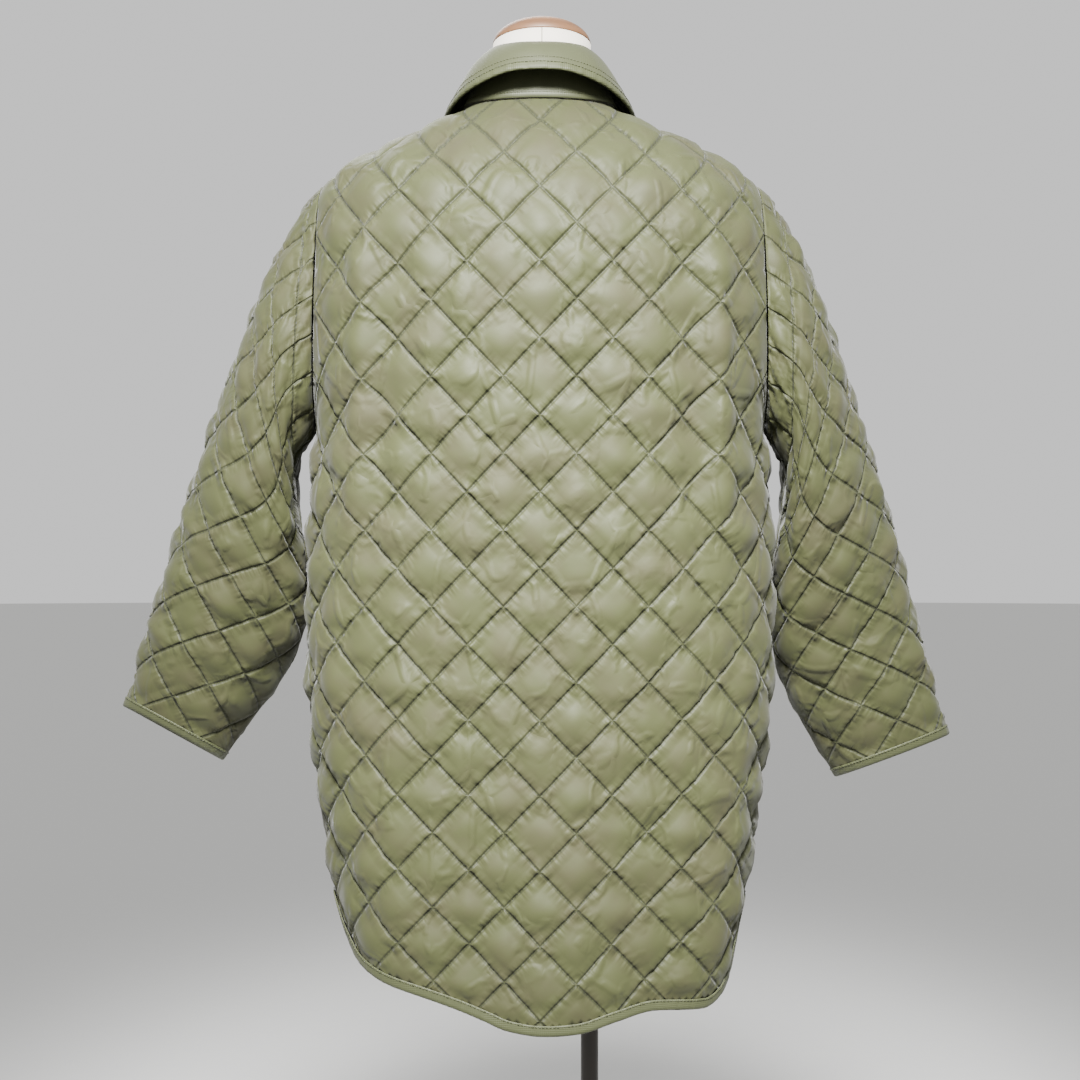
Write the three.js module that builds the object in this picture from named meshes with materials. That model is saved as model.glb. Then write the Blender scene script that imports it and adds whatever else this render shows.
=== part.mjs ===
import * as THREE from 'three';

// Sizes are millimetres. The front of the jacket faces -Y, the wearer's left is +X, up is +Z.

// Cloth and quilting
const CLOTH_WALL = 2.2;
const PUFF_HEIGHT = 5.2;
const PUFF_SHOULDER = 0.7;
const DIAMOND_WIDTH = 73;
const BODY_DIAMOND_HEIGHT = 76.5;
const SLEEVE_DIAMOND_HEIGHT = 66;
const BACK_CROSSING_HEIGHT = 916;
const SEAM_FADE = 16;
const ARMHOLE_FADE = 38;

// Seams
const SEAM_GAP = 0.3;
const ARMHOLE_GAP = 1.1;
const CURVED_SEAM_STEP = 16;
const STRAIGHT_SEAM_STEP = 90;
const HEM_STEP = 20;
const SNAP_DISTANCE = 5;
const PIN_REACH = 6;
const PIN_SLIVER = 0.12;

// Body of the jacket: level sections, with half widths and depths measured from the side seam plane
const SIDE_SEAM_Y = 12;
const BODY_SECTIONS = [
  { z: 400, halfWidth: 183, back: 100, front: 132, roundness: 2.3 },
  { z: 460, halfWidth: 193, back: 106, front: 137, roundness: 2.3 },
  { z: 519, halfWidth: 206, back: 110, front: 140, roundness: 2.35 },
  { z: 578, halfWidth: 217, back: 115, front: 144, roundness: 2.35 },
  { z: 671, halfWidth: 230, back: 122, front: 148, roundness: 2.4 },
  { z: 800, halfWidth: 243, back: 134, front: 154, roundness: 2.4 },
  { z: 891, halfWidth: 244, back: 143, front: 158, roundness: 2.4 },
  { z: 973, halfWidth: 241, back: 150, front: 159, roundness: 2.4 },
  { z: 1060, halfWidth: 236, back: 157, front: 157, roundness: 2.35 },
  { z: 1120, halfWidth: 248, back: 160, front: 153, roundness: 2.3 },
  { z: 1180, halfWidth: 254, back: 161, front: 147, roundness: 2.3 },
  { z: 1240, halfWidth: 253, back: 158, front: 132, roundness: 2.25 },
  { z: 1290, halfWidth: 246, back: 147, front: 112, roundness: 2.2 },
  { z: 1318, halfWidth: 229, back: 134, front: 94, roundness: 2.15 },
  { z: 1339, halfWidth: 198, back: 121, front: 80, roundness: 2.1 },
  { z: 1357, halfWidth: 167, back: 107, front: 71, roundness: 2.1 },
  { z: 1370, halfWidth: 139, back: 96, front: 66, roundness: 2.1 },
  { z: 1388, halfWidth: 102, back: 79, front: 59, roundness: 2.1 },
  { z: 1400, halfWidth: 80, back: 68, front: 55, roundness: 2.1 },
  { z: 1420, halfWidth: 60, back: 52, front: 48, roundness: 2.1 },
];
const RING_STEPS = 72;

// Armhole: the body is cut where its sections pass a leaning plane
const SHOULDER_TIP_HEIGHT = 1318;
const UNDERARM_HEIGHT = 1060;
const ARMHOLE_TOP_X = 229;
const ARMHOLE_FOOT_X = 236;
const ARMHOLE_DEPTH = 75;

// Neck
const BACK_NECK_HEIGHT = 1400;
const FRONT_NECK_HEIGHT = 1326;
const NECK_CURVE_POWER = 2.4;

// Hem, by share of the way from the middle to the side seam
const BACK_HEM = [
  { share: -1, z: 568 },
  { share: -0.95, z: 558 },
  { share: -0.9, z: 532 },
  { share: -0.85, z: 503 },
  { share: -0.79, z: 481 },
  { share: -0.7, z: 471 },
  { share: -0.5, z: 472 },
  { share: -0.3, z: 462 },
  { share: -0.15, z: 453 },
  { share: 0, z: 451 },
  { share: 0.12, z: 454 },
  { share: 0.22, z: 463 },
  { share: 0.32, z: 473 },
  { share: 0.5, z: 490 },
  { share: 0.66, z: 502 },
  { share: 0.8, z: 516 },
  { share: 0.88, z: 537 },
  { share: 0.92, z: 555 },
  { share: 0.96, z: 570 },
  { share: 1, z: 574 },
];
const FRONT_HEM = [
  { share: 0, z: 520 },
  { share: 0.5, z: 523 },
  { share: 0.8, z: 534 },
  { share: 0.94, z: 566 },
  { share: 1, z: 570 },
];

// Front lap
const LAP_WIDTH = 18;
const LAP_INSET = 6.2;
const LAP_BLEND_END = 95;

// Folds
const ARMHOLE_FOLD_PLACE = 178;
const ARMHOLE_FOLD_WIDTH = 17;
const ARMHOLE_FOLD_HEIGHT = 7;
const ARMHOLE_FOLD_TOP = 1290;
const ARMHOLE_FOLD_FOOT = 900;
const HEM_WAVE_LENGTH = 168;
const HEM_WAVE_HEIGHT = 5;
const HEM_WAVE_TOP = 860;

// Bindings
const HEM_BINDING_WIDTH = 9.5;
const COLLAR_BINDING_WIDTH = 8;
const BINDING_OUTSIDE = 0.9;
const BINDING_INSIDE = 0.5;
const BINDING_FLATNESS = 0.07;
const TAPE_GAP = 0.9;

// Sleeves: sections from the armhole to the cuff, each by its outer and inner point seen from behind
const LEFT_SLEEVE_SECTIONS = [
  { outerX: 249, outerZ: 1293, innerX: 253, innerZ: 1043, y: 12, depth: 80, tilt: 0 },
  { outerX: 279, outerZ: 1243, innerX: 263, innerZ: 1019, y: 9, depth: 80, tilt: 0 },
  { outerX: 312, outerZ: 1166, innerX: 262, innerZ: 986, y: 1, depth: 76, tilt: 0 },
  { outerX: 344, outerZ: 1086, innerX: 258, innerZ: 953, y: -10, depth: 72, tilt: 0 },
  { outerX: 374, outerZ: 1004, innerX: 255, innerZ: 915, y: -24, depth: 68, tilt: 0 },
  { outerX: 402, outerZ: 927, innerX: 256, innerZ: 862, y: -41, depth: 62, tilt: 0 },
  { outerX: 428, outerZ: 853, innerX: 278, innerZ: 806, y: -60, depth: 54, tilt: 0.05 },
  { outerX: 446, outerZ: 797, innerX: 318, innerZ: 751, y: -77, depth: 46, tilt: 0.12 },
  { outerX: 458, outerZ: 768, innerX: 350, innerZ: 709, y: -87, depth: 38, tilt: 0.2 },
];
const RIGHT_SLEEVE_SECTIONS = [
  { outerX: 249, outerZ: 1293, innerX: 253, innerZ: 1043, y: 12, depth: 80, tilt: 0 },
  { outerX: 277, outerZ: 1246, innerX: 263, innerZ: 1017, y: 9, depth: 80, tilt: 0 },
  { outerX: 305, outerZ: 1179, innerX: 262, innerZ: 980, y: 1, depth: 76, tilt: 0 },
  { outerX: 331, outerZ: 1107, innerX: 258, innerZ: 945, y: -10, depth: 72, tilt: 0 },
  { outerX: 358, outerZ: 1032, innerX: 255, innerZ: 908, y: -24, depth: 68, tilt: 0 },
  { outerX: 384, outerZ: 955, innerX: 254, innerZ: 861, y: -41, depth: 62, tilt: 0 },
  { outerX: 407, outerZ: 877, innerX: 262, innerZ: 808, y: -60, depth: 54, tilt: 0.05 },
  { outerX: 430, outerZ: 799, innerX: 290, innerZ: 748, y: -77, depth: 47, tilt: 0.1 },
  { outerX: 451, outerZ: 737, innerX: 327, innerZ: 690, y: -92, depth: 38, tilt: 0.1 },
];
const SLEEVE_GRID_AROUND = 96;
const SLEEVE_GRID_ALONG = 90;

// Collar, by turn about the neck from the middle of the back
const COLLAR_WALL = 2.4;
const STAND_RISE = 0.9;
const STAND_SIDE_RISE = 2;
const COLLAR_STATIONS = [
  { turn: 0, foldX: 0, foldY: 60, foldZ: 1462, edgeX: 0, edgeY: 97, edgeZ: 1434 },
  { turn: 13, foldX: 13.5, foldY: 59.2, foldZ: 1462, edgeX: 20.5, edgeY: 95.2, edgeZ: 1433.4 },
  { turn: 45, foldX: 43, foldY: 45, foldZ: 1461, edgeX: 66, edgeY: 72, edgeZ: 1422 },
  { turn: 90, foldX: 56, foldY: 10, foldZ: 1456, edgeX: 97, edgeY: 16, edgeZ: 1402 },
  { turn: 108, foldX: 56, foldY: -8, foldZ: 1448, edgeX: 101, edgeY: -20, edgeZ: 1396 },
  { turn: 125, foldX: 53.5, foldY: -26, foldZ: 1432, edgeX: 99, edgeY: -52, edgeZ: 1375 },
  { turn: 155, foldX: 37, foldY: -52, foldZ: 1397, edgeX: 74, edgeY: -92, edgeZ: 1326 },
  { turn: 175, foldX: 9, foldY: -68, foldZ: 1364, edgeX: 46, edgeY: -118, edgeZ: 1288 },
];
const COLLAR_STEPS = 34;
const COLLAR_ROWS = 4;
const COLLAR_ROLL = 7;
const COLLAR_END_TURN = 175;

// Snaps down the front
const SNAP_HEIGHTS = [1262, 1128, 994, 860, 726];
const SNAP_RADIUS = 7;
const SNAP_THICKNESS = 2.6;
const SNAP_PLACE = 2;
const SNAP_SIDES = 12;

// Dress form
const FORM_SECTIONS = [
  { z: 640, halfWidth: 148, back: 92, front: 84, y: 2 },
  { z: 700, halfWidth: 160, back: 101, front: 92, y: 2 },
  { z: 780, halfWidth: 152, back: 94, front: 88, y: 2 },
  { z: 900, halfWidth: 124, back: 74, front: 80, y: 4 },
  { z: 1020, halfWidth: 138, back: 84, front: 100, y: 6 },
  { z: 1120, halfWidth: 158, back: 96, front: 118, y: 6 },
  { z: 1200, halfWidth: 174, back: 104, front: 104, y: 10 },
  { z: 1260, halfWidth: 190, back: 102, front: 84, y: 12 },
  { z: 1300, halfWidth: 200, back: 88, front: 66, y: 12 },
  { z: 1322, halfWidth: 196, back: 76, front: 54, y: 12 },
  { z: 1339, halfWidth: 178, back: 66, front: 48, y: 12 },
  { z: 1356, halfWidth: 148, back: 58, front: 44, y: 12 },
  { z: 1370, halfWidth: 121, back: 54, front: 42, y: 12 },
  { z: 1386, halfWidth: 86, back: 50, front: 42, y: 13 },
  { z: 1400, halfWidth: 60, back: 48, front: 44, y: 12 },
  { z: 1425, halfWidth: 52, back: 47, front: 46, y: 8 },
];
const FORM_STEPS = 28;
const FORM_LIFT = 2.2;
const NECK_RIM = { x: -2, y: -1, z: 1474, halfWidth: 52.5, halfDepth: 48.5, tilt: 10.6 };
const CAP_RISE = 26.5;
const CAP_RINGS = 5;
const POLE_X = -53;
const POLE_Y = 2;
const POLE_RADIUS = 9.4;
const POLE_SIDES = 20;
const SOCKET_RADIUS = 26;
const SOCKET_HEIGHT = 24;
const BASE_RADIUS = 185;
const BASE_THICKNESS = 8;
const BASE_BEVEL = 2.5;
const BASE_SIDES = 40;
const HUB_RADIUS = 24;
const HUB_HEIGHT = 22;
const HUB_TOP_SHARE = 0.75;
const SOCKET_NECK_SHARE = 0.6;
const SOCKET_PLATE = 5;
const NECK_LEAN_FOOT = 1380;

// Rows of the form's mesh, closer where the shoulders turn in to the neck
const FORM_SPANS = [
  { from: 640, to: 1240, steps: 8 },
  { from: 1240, to: 1300, steps: 2 },
  { from: 1300, to: 1400, steps: 8 },
  { from: 1400, to: 1435, steps: 2 },
];

const SNAP_SHOULDER_SHARE = 0.45;
const SNAP_CROWN_SHARE = 0.72;

// Fall of the collar beyond its fold line
const FALL_EASE = 0.6;
const FALL_RISE = 1.2;
const FALL_BEND_SHARE = 0.42;
const FALL_ROLL_SHARE = 0.6;

// Fading of the largest folds
const FOLD_CLEAR_HEIGHT = 1000;
const FOLD_CLEAR_WIDTH = 60;
const FOLD_SEAM_FADE = 50;
const FOLD_ARMHOLE_FADE = 45;
const FOLD_FOOT_FADE = 130;
const FOLD_TOP_FADE = 90;
const ARMHOLE_FOLD_LEAN = 0.06;
const FOLD_TROUGH_SHARE = 0.55;
const FOLD_TROUGH_OFFSET = 2.1;
const HEM_WAVE_START = 20;
const HEM_WAVE_FULL = 480;

const LEAST_RIM_LEAN = 0.62;
const NORMAL_REACH = 0.6;
const INSIDE_SHOULDER_SHARE = 0.995;

const radians = (degrees) => degrees * Math.PI / 180;
const mix = (a, b, share) => a + (b - a) * share;
const clamp01 = (value) => Math.min(1, Math.max(0, value));
const ease = (from, to, value) => {
  const share = clamp01((value - from) / (to - from));
  return share * share * (3 - 2 * share);
};

// Smooth value of one named column of a table, without overshoot between its rows
function column(table, key, name, at) {
  const last = table.length - 1;
  const sign = table[last][key] > table[0][key] ? 1 : -1;
  let row = 0;
  while (row < last - 1 && (at - table[row + 1][key]) * sign > 0) {
    row += 1;
  }
  const slope = (i) => (table[i + 1][name] - table[i][name]) / (table[i + 1][key] - table[i][key]);
  const tangent = (i) => {
    if (i === 0) {
      return slope(0);
    }
    if (i === last) {
      return slope(last - 1);
    }
    const before = slope(i - 1);
    const after = slope(i);
    return before * after <= 0 ? 0 : 2 * before * after / (before + after);
  };
  const span = table[row + 1][key] - table[row][key];
  const t = clamp01((at - table[row][key]) / span);
  const t2 = t * t;
  const t3 = t2 * t;
  return (2 * t3 - 3 * t2 + 1) * table[row][name]
    + (t3 - 2 * t2 + t) * span * tangent(row)
    + (3 * t2 - 2 * t3) * table[row + 1][name]
    + (t3 - t2) * span * tangent(row + 1);
}

// Body surface

const quarterCache = new Map();

// One quarter of a level section, from the middle of the back or front round to the side seam
function quarter(side, z) {
  const key = side + z.toFixed(4);
  if (quarterCache.has(key)) {
    return quarterCache.get(key);
  }
  const halfWidth = column(BODY_SECTIONS, 'z', 'halfWidth', z);
  const depth = column(BODY_SECTIONS, 'z', side, z);
  const power = 2 / column(BODY_SECTIONS, 'z', 'roundness', z);
  const sign = side === 'back' ? 1 : -1;
  const ring = { length: [0], x: [0], y: [SIDE_SEAM_Y + sign * depth], depth, halfWidth };
  for (let step = 1; step <= RING_STEPS; step += 1) {
    const angle = Math.PI / 2 * step / RING_STEPS;
    const x = halfWidth * Math.sin(angle) ** power;
    const y = SIDE_SEAM_Y + sign * depth * Math.max(0, Math.cos(angle)) ** power;
    const run = Math.hypot(x - ring.x[step - 1], y - ring.y[step - 1]);
    ring.x.push(x);
    ring.y.push(step === RING_STEPS ? SIDE_SEAM_Y : y);
    ring.length.push(ring.length[step - 1] + run);
  }
  ring.total = ring.length[RING_STEPS];
  quarterCache.set(key, ring);
  return ring;
}

const quarterLength = (side, z) => quarter(side, z).total;

// Point of the plain body surface at cloth distance s from the middle
function bodyPoint(side, s, z) {
  const ring = quarter(side, z);
  const run = Math.min(Math.abs(s), ring.total);
  let low = 0;
  let high = RING_STEPS;
  while (high - low > 1) {
    const middle = (low + high) >> 1;
    if (ring.length[middle] <= run) {
      low = middle;
    } else {
      high = middle;
    }
  }
  const share = (run - ring.length[low]) / (ring.length[high] - ring.length[low]);
  const x = mix(ring.x[low], ring.x[high], share);
  return new THREE.Vector3(s < 0 ? -x : x, mix(ring.y[low], ring.y[high], share), z);
}

function bodyNormal(side, s, z) {
  const reach = 2;
  const limit = quarterLength(side, z);
  if (Math.abs(s) > limit - 1) {
    const widthAt = (height) => column(BODY_SECTIONS, 'z', 'halfWidth', height);
    const rise = widthAt(z + 1) - widthAt(z - 1);
    return new THREE.Vector3(Math.sign(s), 0, -rise / 2).normalize();
  }
  const left = bodyPoint(side, Math.max(s - reach, -limit), z);
  const right = bodyPoint(side, Math.min(s + reach, limit), z);
  const below = bodyPoint(side, s, z - reach);
  const above = bodyPoint(side, s, z + reach);
  const normal = right.sub(left).cross(above.sub(below)).normalize();
  return side === 'back' ? normal.negate() : normal;
}

const armholeX = (z) => {
  const share = (SHOULDER_TIP_HEIGHT - z) / (SHOULDER_TIP_HEIGHT - UNDERARM_HEIGHT);
  return mix(ARMHOLE_TOP_X, ARMHOLE_FOOT_X, share);
};

// Direction of the wall at the armhole, shared by the body and the sleeve
function armholeNormal(side, s, z) {
  const normal = bodyNormal(side, s, z);
  const point = bodyPoint(side, s, z);
  const half = (SHOULDER_TIP_HEIGHT - UNDERARM_HEIGHT) / 2;
  const middle = (SHOULDER_TIP_HEIGHT + UNDERARM_HEIGHT) / 2;
  const outward = new THREE.Vector3(
    0,
    (point.y - SIDE_SEAM_Y) / (ARMHOLE_DEPTH * ARMHOLE_DEPTH),
    (z - middle) / (half * half),
  ).normalize();
  return normal.add(outward).normalize();
}

// Largest folds: one beside each armhole, and the waves of the hem
function foldHeight(side, s, z) {
  const seam = quarterLength(side, z) - Math.abs(s);
  const belowArmhole = z < FOLD_CLEAR_HEIGHT ? FOLD_CLEAR_WIDTH : 0;
  const beside = armholeX(z) - Math.abs(bodyPoint(side, s, z).x) + belowArmhole;
  const fade = ease(0, FOLD_SEAM_FADE, seam) * ease(4, FOLD_ARMHOLE_FADE, beside);
  const foot = ease(ARMHOLE_FOLD_FOOT, ARMHOLE_FOLD_FOOT + FOLD_FOOT_FADE, z);
  const top = ease(ARMHOLE_FOLD_TOP, ARMHOLE_FOLD_TOP - FOLD_TOP_FADE, z);
  const lean = (ARMHOLE_FOLD_TOP - z) * ARMHOLE_FOLD_LEAN;
  const offset = (Math.abs(s) - ARMHOLE_FOLD_PLACE - lean) / ARMHOLE_FOLD_WIDTH;
  const crest = ARMHOLE_FOLD_HEIGHT * Math.exp(-offset * offset);
  const trough = FOLD_TROUGH_SHARE * ARMHOLE_FOLD_HEIGHT * Math.exp(-((offset + FOLD_TROUGH_OFFSET) ** 2));
  const ripple = Math.cos(2 * Math.PI * (s + HEM_WAVE_START) / HEM_WAVE_LENGTH);
  const wave = HEM_WAVE_HEIGHT * ripple * ease(HEM_WAVE_TOP, HEM_WAVE_FULL, z);
  return fade * (foot * top * (crest - trough) + wave);
}

// Flat quilting mesh

const flatKey = (s, z) => s.toFixed(3) + '/' + z.toFixed(3);

function emptyFlat() {
  return { points: [], triangles: [], index: new Map() };
}

function flatPoint(flat, s, z, lift) {
  const key = flatKey(s, z);
  if (flat.index.has(key)) {
    return flat.index.get(key);
  }
  flat.points.push({ s, z, lift, on: new Set() });
  flat.index.set(key, flat.points.length - 1);
  return flat.points.length - 1;
}

// Quilted diamonds over a rectangle of cloth; plain ones have no raised points
function quiltedFlat(range, originZ, width, height, raised) {
  const flat = emptyFlat();
  const firstColumn = Math.floor(range.minS / (width / 2)) - 1;
  const lastColumn = Math.ceil(range.maxS / (width / 2)) + 1;
  const firstRow = Math.floor((range.minZ - originZ) / (height / 2)) - 1;
  const lastRow = Math.ceil((range.maxZ - originZ) / (height / 2)) + 1;
  for (let row = firstRow; row <= lastRow; row += 1) {
    for (let across = firstColumn; across <= lastColumn; across += 1) {
      if ((row + across) % 2 !== 0) {
        addDiamond(flat, across * width / 2, originZ + row * height / 2, width, height, raised);
      }
    }
  }
  return flat;
}

function addDiamond(flat, s, z, width, height, raised) {
  const turns = [[1, 0], [0, 1], [-1, 0], [0, -1]];
  const corners = turns.map(([a, b]) => flatPoint(flat, s + a * width / 2, z + b * height / 2, 0));
  if (!raised) {
    flat.triangles.push([corners[3], corners[0], corners[1]]);
    flat.triangles.push([corners[3], corners[1], corners[2]]);
    return;
  }
  const middle = flatPoint(flat, s, z, 1);
  const inner = turns.map(([a, b]) => {
    return flatPoint(flat, s + a * width / 4, z + b * height / 4, PUFF_SHOULDER);
  });
  for (let i = 0; i < 4; i += 1) {
    const next = (i + 1) % 4;
    flat.triangles.push([inner[i], corners[i], corners[next]]);
    flat.triangles.push([inner[i], corners[next], inner[next]]);
    flat.triangles.push([middle, inner[i], inner[next]]);
  }
}

// Brings a near point of the mesh to a corner of the outline, or adds a point there
function pinCorner(flat, corner) {
  let best = -1;
  let bestRun = PIN_REACH;
  flat.points.forEach((point, i) => {
    const run = Math.hypot(point.s - corner.s, point.z - corner.z);
    if (run < bestRun && point.on.size === 0) {
      bestRun = run;
      best = i;
    }
  });
  if (best < 0) {
    best = insertPoint(flat, corner);
  }
  const point = flat.points[best];
  point.s = corner.s;
  point.z = corner.z;
  point.lift = 0;
  point.corner = corner.name;
  corner.on.forEach((name) => point.on.add(name));
}

// Adds a point inside the triangle that holds it, or on a side that it nearly touches
function insertPoint(flat, spot) {
  const share = (i, j) => {
    const a = flat.points[i];
    const b = flat.points[j];
    return (b.s - a.s) * (spot.z - a.z) - (b.z - a.z) * (spot.s - a.s);
  };
  const added = flat.points.length;
  flat.points.push({ s: spot.s, z: spot.z, lift: 0, on: new Set() });
  const t = flat.triangles.findIndex(([a, b, c]) => {
    return share(a, b) >= 0 && share(b, c) >= 0 && share(c, a) >= 0;
  });
  const [a, b, c] = flat.triangles[t];
  const sides = [[a, b, c], [b, c, a], [c, a, b]];
  const area = share(a, b) + share(b, c) + share(c, a);
  const near = sides.find(([i, j]) => share(i, j) < PIN_SLIVER * area);
  if (near === undefined) {
    flat.triangles[t] = [a, b, added];
    flat.triangles.push([b, c, added], [c, a, added]);
    return added;
  }
  const [i, j, k] = near;
  flat.triangles[t] = [added, j, k];
  flat.triangles.push([i, added, k]);
  const across = flat.triangles.findIndex((triangle, at) => {
    return at !== t && triangle.includes(i) && triangle.includes(j) && !triangle.includes(added);
  });
  if (across >= 0) {
    const far = flat.triangles[across].find((m) => m !== i && m !== j);
    flat.triangles[across] = [j, added, far];
    flat.triangles.push([added, i, far]);
  }
  return added;
}

function slideToEdge(point, inside) {
  const reach = 0.05;
  for (let turn = 0; turn < 6; turn += 1) {
    const value = inside(point.s, point.z);
    const gradientS = (inside(point.s + reach, point.z) - inside(point.s - reach, point.z)) / (2 * reach);
    const gradientZ = (inside(point.s, point.z + reach) - inside(point.s, point.z - reach)) / (2 * reach);
    const square = gradientS * gradientS + gradientZ * gradientZ;
    if (square < 1e-6 || Math.abs(value) < 1e-6) {
      return;
    }
    point.s -= value * gradientS / square;
    point.z -= value * gradientZ / square;
  }
}

// Cuts the mesh along one edge of the outline
function cutFlat(flat, name, inside) {
  const values = flat.points.map((point) => {
    if (point.on.has(name)) {
      return 0;
    }
    const value = inside(point.s, point.z);
    if (point.on.size === 0 && Math.abs(value) < SNAP_DISTANCE) {
      slideToEdge(point, inside);
      point.on.add(name);
      point.lift = 0;
      return 0;
    }
    return Math.abs(value) < 0.02 ? 0 : value;
  });
  const cuts = new Map();
  const cutPoint = (a, b) => {
    const key = a < b ? a + '_' + b : b + '_' + a;
    if (cuts.has(key)) {
      return cuts.get(key);
    }
    const first = flat.points[a];
    const second = flat.points[b];
    let low = 0;
    let high = 1;
    const rising = values[a] < 0;
    for (let turn = 0; turn < 40; turn += 1) {
      const share = (low + high) / 2;
      const value = inside(mix(first.s, second.s, share), mix(first.z, second.z, share));
      if ((value < 0) === rising) {
        low = share;
      } else {
        high = share;
      }
    }
    const share = (low + high) / 2;
    const shared = [...first.on].filter((edge) => second.on.has(edge));
    flat.points.push({
      s: mix(first.s, second.s, share),
      z: mix(first.z, second.z, share),
      lift: 0,
      on: new Set([name, ...shared]),
    });
    cuts.set(key, flat.points.length - 1);
    return flat.points.length - 1;
  };
  const kept = [];
  flat.triangles.forEach((triangle) => {
    const outside = triangle.filter((i) => values[i] < 0).length;
    const within = triangle.filter((i) => values[i] > 0).length;
    if (within === 0 && outside === 0) {
      const s = (flat.points[triangle[0]].s + flat.points[triangle[1]].s + flat.points[triangle[2]].s) / 3;
      const z = (flat.points[triangle[0]].z + flat.points[triangle[1]].z + flat.points[triangle[2]].z) / 3;
      if (inside(s, z) > 0) {
        kept.push(triangle);
      }
      return;
    }
    if (outside === 0) {
      kept.push(triangle);
      return;
    }
    if (within === 0) {
      return;
    }
    const corners = [];
    for (let i = 0; i < 3; i += 1) {
      const a = triangle[i];
      const b = triangle[(i + 1) % 3];
      if (values[a] >= 0) {
        corners.push(a);
      }
      if (values[a] * values[b] < 0) {
        corners.push(cutPoint(a, b));
      }
    }
    for (let i = 1; i + 1 < corners.length; i += 1) {
      kept.push([corners[0], corners[i], corners[i + 1]]);
    }
  });
  flat.triangles = kept;
}

function rimEdges(flat) {
  const rim = new Map();
  flat.triangles.forEach((triangle, t) => {
    for (let i = 0; i < 3; i += 1) {
      const a = triangle[i];
      const b = triangle[(i + 1) % 3];
      if (rim.has(b + '_' + a)) {
        rim.delete(b + '_' + a);
      } else {
        rim.set(a + '_' + b, { a, b, triangle: t });
      }
    }
  });
  return [...rim.values()];
}

// Splits rim edges that are longer than their seam allows
function refineRim(flat, edges) {
  for (let pass = 0; pass < 4; pass += 1) {
    const used = new Set();
    let changed = false;
    rimEdges(flat).forEach(({ a, b, triangle }) => {
      const first = flat.points[a];
      const second = flat.points[b];
      const name = [...first.on].find((edge) => second.on.has(edge) && edges[edge]);
      if (name === undefined || used.has(triangle)) {
        return;
      }
      if (Math.hypot(first.s - second.s, first.z - second.z) <= edges[name].step) {
        return;
      }
      const middle = {
        s: mix(first.s, second.s, 0.5),
        z: mix(first.z, second.z, 0.5),
        lift: 0,
        on: new Set([name]),
      };
      slideToEdge(middle, edges[name].inside);
      flat.points.push(middle);
      const added = flat.points.length - 1;
      const far = flat.triangles[triangle].find((i) => i !== a && i !== b);
      flat.triangles[triangle] = [a, added, far];
      flat.triangles.push([added, b, far]);
      used.add(triangle);
      changed = true;
    });
    if (!changed) {
      return;
    }
  }
}

// Rim as one loop of points that starts at a corner
function rimLoop(flat) {
  const next = new Map();
  rimEdges(flat).forEach(({ a, b }) => {
    if (next.has(a)) {
      throw new Error('the rim touches itself');
    }
    next.set(a, b);
  });
  const start = [...next.keys()].find((i) => flat.points[i].corner);
  const loop = [start];
  let at = next.get(start);
  while (at !== start) {
    loop.push(at);
    at = next.get(at);
  }
  if (loop.length !== next.size) {
    throw new Error('the panel has more than one rim');
  }
  return loop;
}

function flatPanel(layout, raised) {
  const flat = quiltedFlat(layout.range, layout.originZ, DIAMOND_WIDTH, layout.diamondHeight, raised);
  layout.corners.forEach((corner) => pinCorner(flat, corner));
  Object.entries(layout.edges).forEach(([name, edge]) => cutFlat(flat, name, edge.inside));
  refineRim(flat, layout.edges);
  return flat;
}

// Splits a loop into runs between corners
function cornerRuns(flat, loop) {
  const runs = [];
  loop.forEach((point, i) => {
    if (flat.points[point].corner) {
      runs.push([]);
    }
    runs[runs.length - 1].push(point);
    const following = loop[(i + 1) % loop.length];
    if (flat.points[following].corner) {
      runs[runs.length - 1].push(following);
    }
  });
  return runs;
}

function runShares(flat, run) {
  const lengths = [0];
  for (let i = 1; i < run.length; i += 1) {
    const a = flat.points[run[i - 1]];
    const b = flat.points[run[i]];
    lengths.push(lengths[i - 1] + Math.hypot(a.s - b.s, a.z - b.z));
  }
  return lengths.map((length) => length / lengths[lengths.length - 1]);
}

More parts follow.
